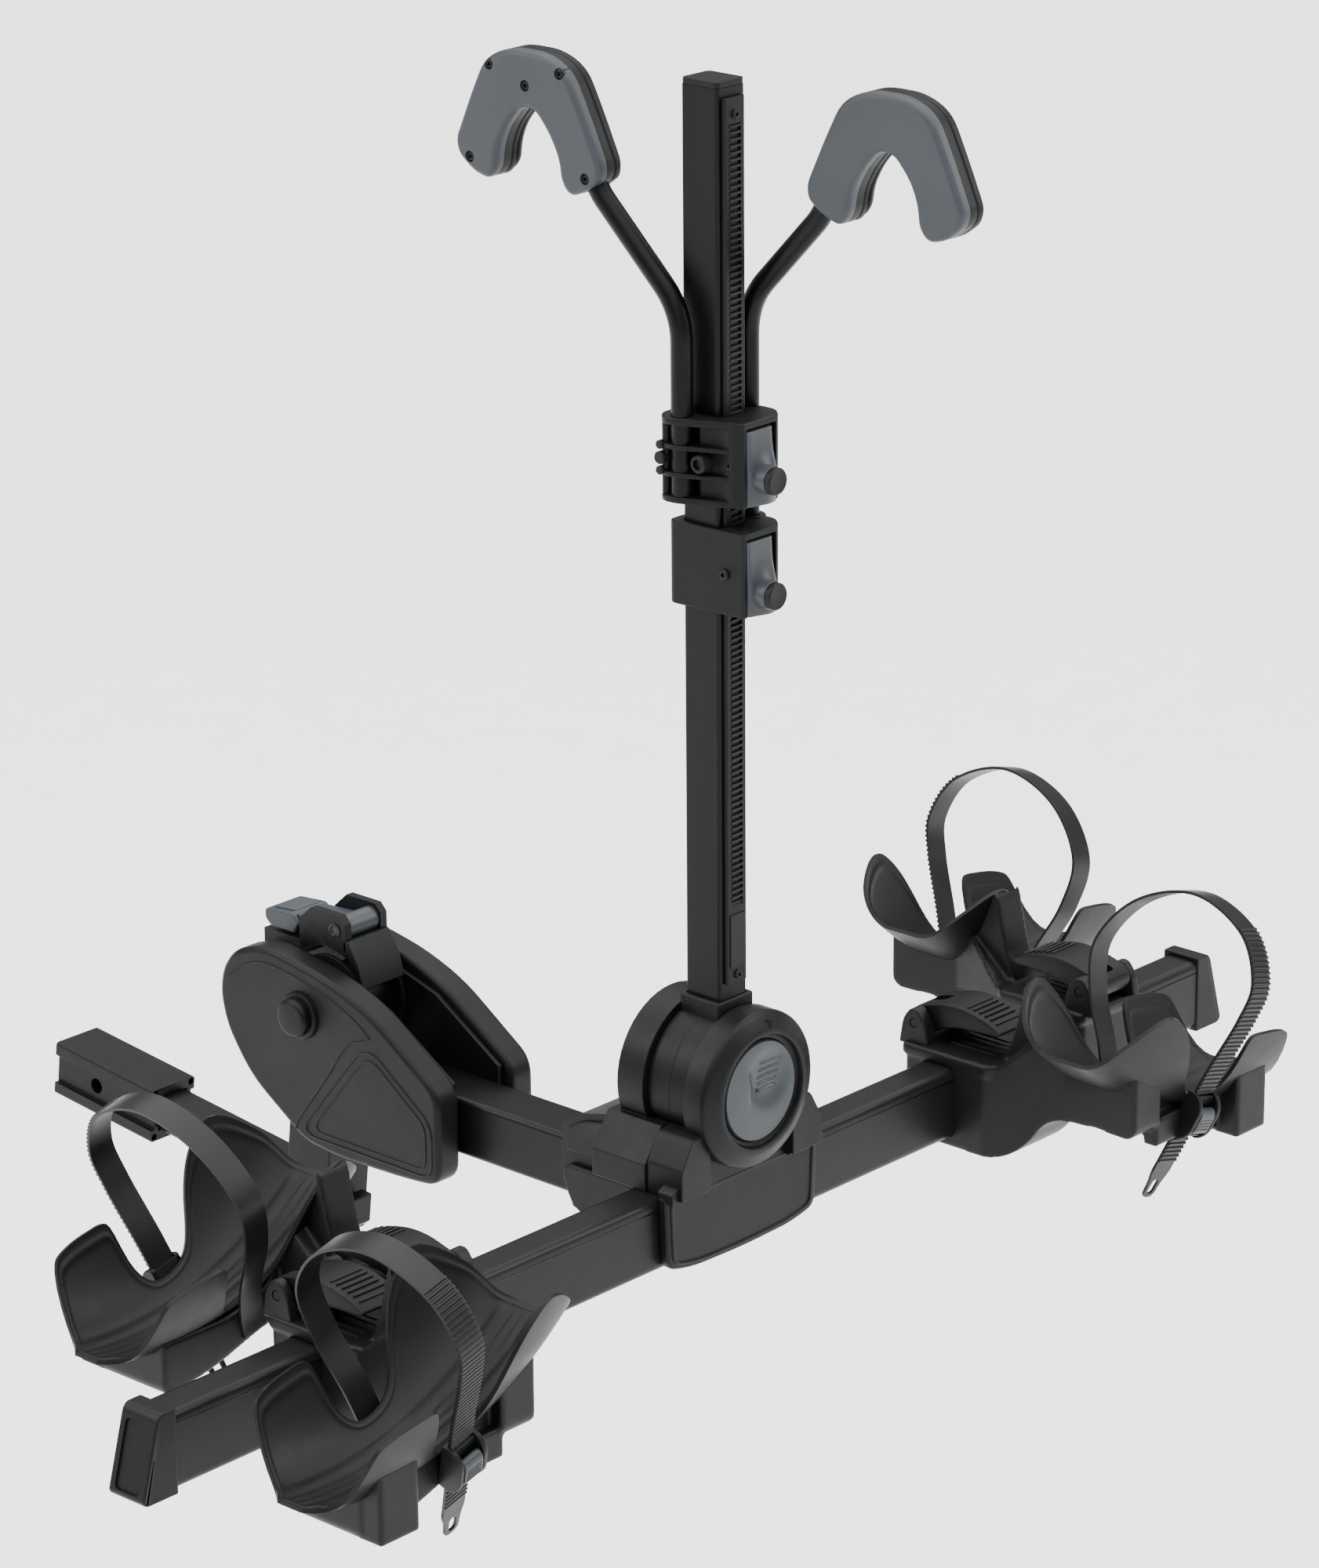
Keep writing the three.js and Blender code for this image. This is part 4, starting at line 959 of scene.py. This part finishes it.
ALONG = Vector((15, 40)).normalized()
OUTWARD = Vector((ALONG.y, -ALONG.x))


def at_buckle(a, o):
    p = Vector((42, 0)) + ALONG * a + OUTWARD * o
    return (p.x, p.y)


def in_strap_plane(outline, low, high):
    return outward(prism("z", outline, low, high))


def buckle_block(a0, a1, o0, o1, half):
    """Block in the buckle's own directions: along the strap, outward from it and across it."""
    corners = [at_buckle(a0, o0), at_buckle(a1, o0), at_buckle(a1, o1), at_buckle(a0, o1)]
    return in_strap_plane(corners, -half, half)


def buckle_mesh():
    """Buckle body with its slot, two cheeks and the hinge pin between them."""
    side = rounded([at_buckle(-21, -5), at_buckle(22, -5), at_buckle(22, 7), at_buckle(12, 15.5),
                    at_buckle(-12, 15.5), at_buckle(-22, 8)], [3, 3, 5, 6, 6, 6], 4)
    cheeks = [bevelled(in_strap_plane(side, *span), 1.2, 3, 50) for span in ((-15, -10.4), (10.4, 15))]
    core = bevelled(buckle_block(-20, 20, -5, 4.6, 14), 0.8, 2, 50)
    core = carve(core, buckle_block(-40, 40, -2.0, 3.1, 12.4))
    pin = sweep([(*at_buckle(-15, 9), -14.6), (*at_buckle(-15, 9), 14.6)], 1.6, 12)
    out = merged(core, *cheeks, pin)
    out.transform(STRAP_FRAME)
    return out


def buckle_button_mesh():
    outline = rounded([at_buckle(-12, 8.5), at_buckle(12, 8.5), at_buckle(12, 12.5), at_buckle(7, 16),
                       at_buckle(-9, 16), at_buckle(-12, 13)], [0, 0, 3, 5, 5, 2], 4)
    body = bevelled(in_strap_plane(outline, -9.5, 9.5), 1.0, 3, 50)
    grips = [sweep([(*at_buckle(a, 16.1), -7.5), (*at_buckle(a, 16.1), 7.5)], 0.6, 8) for a in (-6, -3, 0, 3)]
    out = merged(body, *grips)
    out.transform(STRAP_FRAME)
    return out


CAM_PIN = (-30, 90.5)


def cam_lever_mesh():
    """Curved lever with a hollow underside, grip lines, a thumb notch and its pin."""
    side = rounded([(-43, 92), (-40, 82), (-30, 77.8), (-19, 80), (-12, 86), (6, 91), (30, 93), (49, 93),
                    (54, 97), (40, 104), (16, 110), (-6, 110), (-28, 104), (-38, 101)],
                   [8, 8, 8, 8, 8, 14, 10, 3, 4, 10, 16, 16, 10, 8], 4)
    body = bevelled(prism("x", side, 25, 69), 2.4, 4, 45)
    under = prism("x", rounded([(-8, 70), (-4, 92), (10, 98), (40, 98), (46, 90), (46, 70)], 4, 3), 30, 64)
    grip_lines = [sweep([(31, s, z), (63, s, z)], 0.9, 8) for s, z in
                  ((44, 102.4), (38, 105.2), (32, 107.0), (26, 108.4), (20, 109.6), (14, 110.1))]
    notch = prism("z", rounded([(40, -36), (54, -36), (54, -18), (40, -18)], 3, 3), 98, 120)
    bores = [cylinder("x", 4.6, *span, *CAM_PIN, 32) for span in ((24, 29), (65, 70))]
    body = carve(body, under, notch, *bores)
    pin = lathe("x", [(0, 12.5), (3.6, 12.5), (4, 13), (4, 77), (3.6, 77.5), (0, 77.5)], *CAM_PIN, 32)
    return merged(body, pin, *grip_lines)


def arm_mesh():
    """Moulded tray arm: clamp, sloping beam, stand and cradle base in one rounded skin."""
    spine = rounded([(30, -10), (62, -9), (84, 6), (102, 34), (150, 38), (184, 36), (192, 43), (192, 92),
                     (100, 110), (60, 74), (30, 74)], [0, 22, 26, 26, 0, 8, 6, 0, 0, 0, 0], 6)
    stand = rounded([(46, 62), (62, 92), (74, 146), (80, 152), (87, 148), (96, 118), (112, 92), (112, 60)],
                    [0, 20, 4, 4, 6, 16, 0, 0], 5)
    base = rounded([(62, 30), (100, 22), (150, 6), (196, 0), (201, 6), (201, 44), (130, 44), (100, 50),
                    (62, 84)], [0, 10, 30, 6, 4, 0, 0, 0, 0], 5)
    inboard = prism("z", [(-5, 48), (9, 48), (30, 118), (30, 230), (-5, 230)], -60, 220)
    outboard = prism("z", [(95, 120), (78.5, 120), (66, 152), (66, 230), (95, 230)], -60, 220)
    solids = [
        bevelled(box(9, 78, -37, 40, -10, 66), 4, 3),
        bevelled(box(7, 80, -39, 54, 63, 73.5), 2, 2),
        carve(prism("x", spine, 9, 78), inboard, outboard),
        prism("x", stand, 30, 62),
        prism("y", base, 104, 180),
        box(160, 200, 176, 200, 2, 60),
        box(62, 96, 176, 190, 22, 46),
    ]
    skin_ = softened(merged(*(outward(solid) for solid in solids)), 1.7, 5)
    # The wheel's space above the cradle, wider than the shell beside its waist
    over = bmesh.new()
    stations = [-11, -7, -2, 5, 14, 26, 36, 46, 56, 66, 76, 84, 92, 104, 118, 130, 140, 147, 153, 160,
                175, 190, 205, 215, 221, 226, 232, 243]
    lanes = 20
    top, low = [], []
    for d in stations:
        far = max(half_width(d) + 1, 71)
        near = max(half_width(d) + 1, 66 if d > 84 else 0)
        across = [(-near if j < lanes / 2 else far) * abs(2 * j / lanes - 1) for j in range(lanes + 1)]
        top.append([over.verts.new((d, CENTRE + a, 240)) for a in across])
        low.append([over.verts.new(trough_point(d, a, -SHELL_WALL - 0.3)) for a in across])
    closed_sheets(over, top, low)
    buckle_room = buckle_block(-30, 30, -5.6, 30, 16)
    strap_room = in_strap_plane([(-41, -20), (-41, 40), (-60, 40), (-60, -20)], -13, 13)
    bar_room = prism("x", rounded([(-17.9, -0.4), (17.9, -0.4), (17.9, 62.4), (-17.9, 62.4)], 6, 4), -5, 90)
    for room in (buckle_room, strap_room):
        room.transform(STRAP_FRAME)
        outward(room)
    body = carve(skin_, over, buckle_room, strap_room, bar_room)
    ear = rounded([(-46, 70), (-14, 70), (-18, 92), (-26, 103), (-34, 103), (-42, 93)], [0, 0, 8, 8, 8, 8], 4)
    ears = [bevelled(prism("x", ear, *span), 1.8, 3, 50) for span in ((12, 24.4), (69.6, 78))]
    bores = [cylinder("x", 4.4, *span, *CAM_PIN, 32) for span in ((5, 26), (68, 85))]
    ears_cut = carve(merged(*ears), *bores)
    pad_ribs = [bevelled(box(31 + 8 * k, 33.4 + 8 * k, -6, 44, 73.0, 74.8), 0.6, 2) for k in range(5)]
    return merged(body, ears_cut, *pad_ribs)


TRAY_LOOKS = [
    ("tray_arm", "moulding", arm_mesh(), TRAY_PLASTIC, 40),
    ("cradle", "shell", cradle_mesh(), TRAY_PLASTIC, 50),
    ("wheel_strap", "band", strap_mesh(), STRAP_PLASTIC, 30),
    ("strap_buckle", "frame", buckle_mesh(), BLACK_PLASTIC, 32),
    ("buckle_button", "cap", buckle_button_mesh(), GREY_BUTTON, 32),
    ("cam_lever", "handle", cam_lever_mesh(), BLACK_PLASTIC, 34),
]
# Each tray's place along the crossbar, and the two signs that mirror it
TRAYS = [("left_front", -385.6, -1, -1), ("right_front", 270.0, 1, -1), ("left_back", -311.0, -1, 1),
         ("right_back", 417.0, 1, 1)]
for corner, place, out_sign, away_sign in TRAYS:
    mirror = Matrix.Diagonal((out_sign, away_sign, 1, 1))
    placement = PLATFORM @ Matrix.Translation((place, 0, 0)) @ mirror
    for word, label, bm, material, angle in TRAY_LOOKS:
        node = f"{word}_{corner}"
        piece(f"{node}_{label}", bm.copy(), placement, node, material, (node,), angle)

# ---------------------------------------------------------------- stage, light and camera
FLOOR_Z = -0.62
FLOOR_REACH = 30
floor_mesh = bpy.data.meshes.new("floor")
floor_corners = [(x * FLOOR_REACH, y * FLOOR_REACH, FLOOR_Z) for x, y in ((-1, -1), (1, -1), (1, 1), (-1, 1))]
floor_mesh.from_pydata(floor_corners, [], [(0, 1, 2, 3)])
floor = bpy.data.objects.new("floor", floor_mesh)
bpy.context.scene.collection.objects.link(floor)
floor_mat = surface("pale_floor", (0.93, 0.93, 0.93), 0.85, grain=60, bump=0.02, mottle=0.01, edge_wear_and_highlight=0.0)
floor_mesh.materials.append(floor_mat)

# Soft dome, dim toward the horizon and bright overhead
world = bpy.data.worlds.new("studio")
bpy.context.scene.world = world
world.use_nodes = True
sky_nodes, sky_links = world.node_tree.nodes, world.node_tree.links
sky_where = sky_nodes.new("ShaderNodeTexCoord")
sky_split = sky_nodes.new("ShaderNodeSeparateXYZ")
sky_ramp = added(sky_nodes, "ShaderNodeMapRange", From_Min=0.3, From_Max=0.95, To_Min=0.22, To_Max=5.0)
sky_ramp.interpolation_type = "SMOOTHSTEP"
sky_links.new(sky_where.outputs["Generated"], sky_split.inputs["Vector"])
sky_links.new(sky_split.outputs["Z"], sky_ramp.inputs["Value"])
sky_links.new(sky_ramp.outputs["Result"], sky_nodes["Background"].inputs["Strength"])
sky_nodes["Background"].inputs["Color"].default_value = (1.0, 1.0, 1.0, 1)


AIM = Vector((0, -0.6, 0.3))


def area_light(name, where, size, power):
    data = bpy.data.lights.new(name, "AREA")
    data.shape = "RECTANGLE"
    data.size, data.size_y = size
    data.energy = power
    obj = bpy.data.objects.new(name, data)
    bpy.context.scene.collection.objects.link(obj)
    obj.location = where
    obj.rotation_mode = "QUATERNION"
    obj.rotation_quaternion = (AIM - Vector(where)).to_track_quat("-Z", "Y")


area_light("key", (2.2, -3.2, 2.2), (1.4, 1.8), 95)
area_light("rim", (-2.6, 1.8, 2.2), (1.4, 1.8), 90)
area_light("front_fill", (-2.6, -3.0, 2.2), (1.6, 1.6), 22)

camera_data = bpy.data.cameras.new("camera")
camera_data.lens = 131.6
camera_data.sensor_width = 36
camera_data.clip_end = 200
camera = bpy.data.objects.new("camera", camera_data)
bpy.context.scene.collection.objects.link(camera)
right = Vector((0.672, -0.7406, -0.0071))
up = Vector((0.2454, 0.2135, 0.9458))
back = Vector((-0.699, -0.6371, 0.3252))
camera.matrix_world = Matrix((
    (right.x, up.x, back.x, -3.1804),
    (right.y, up.y, back.y, -3.5597),
    (right.z, up.z, back.z, 1.9075),
    (0, 0, 0, 1),
))
bpy.context.scene.camera = camera
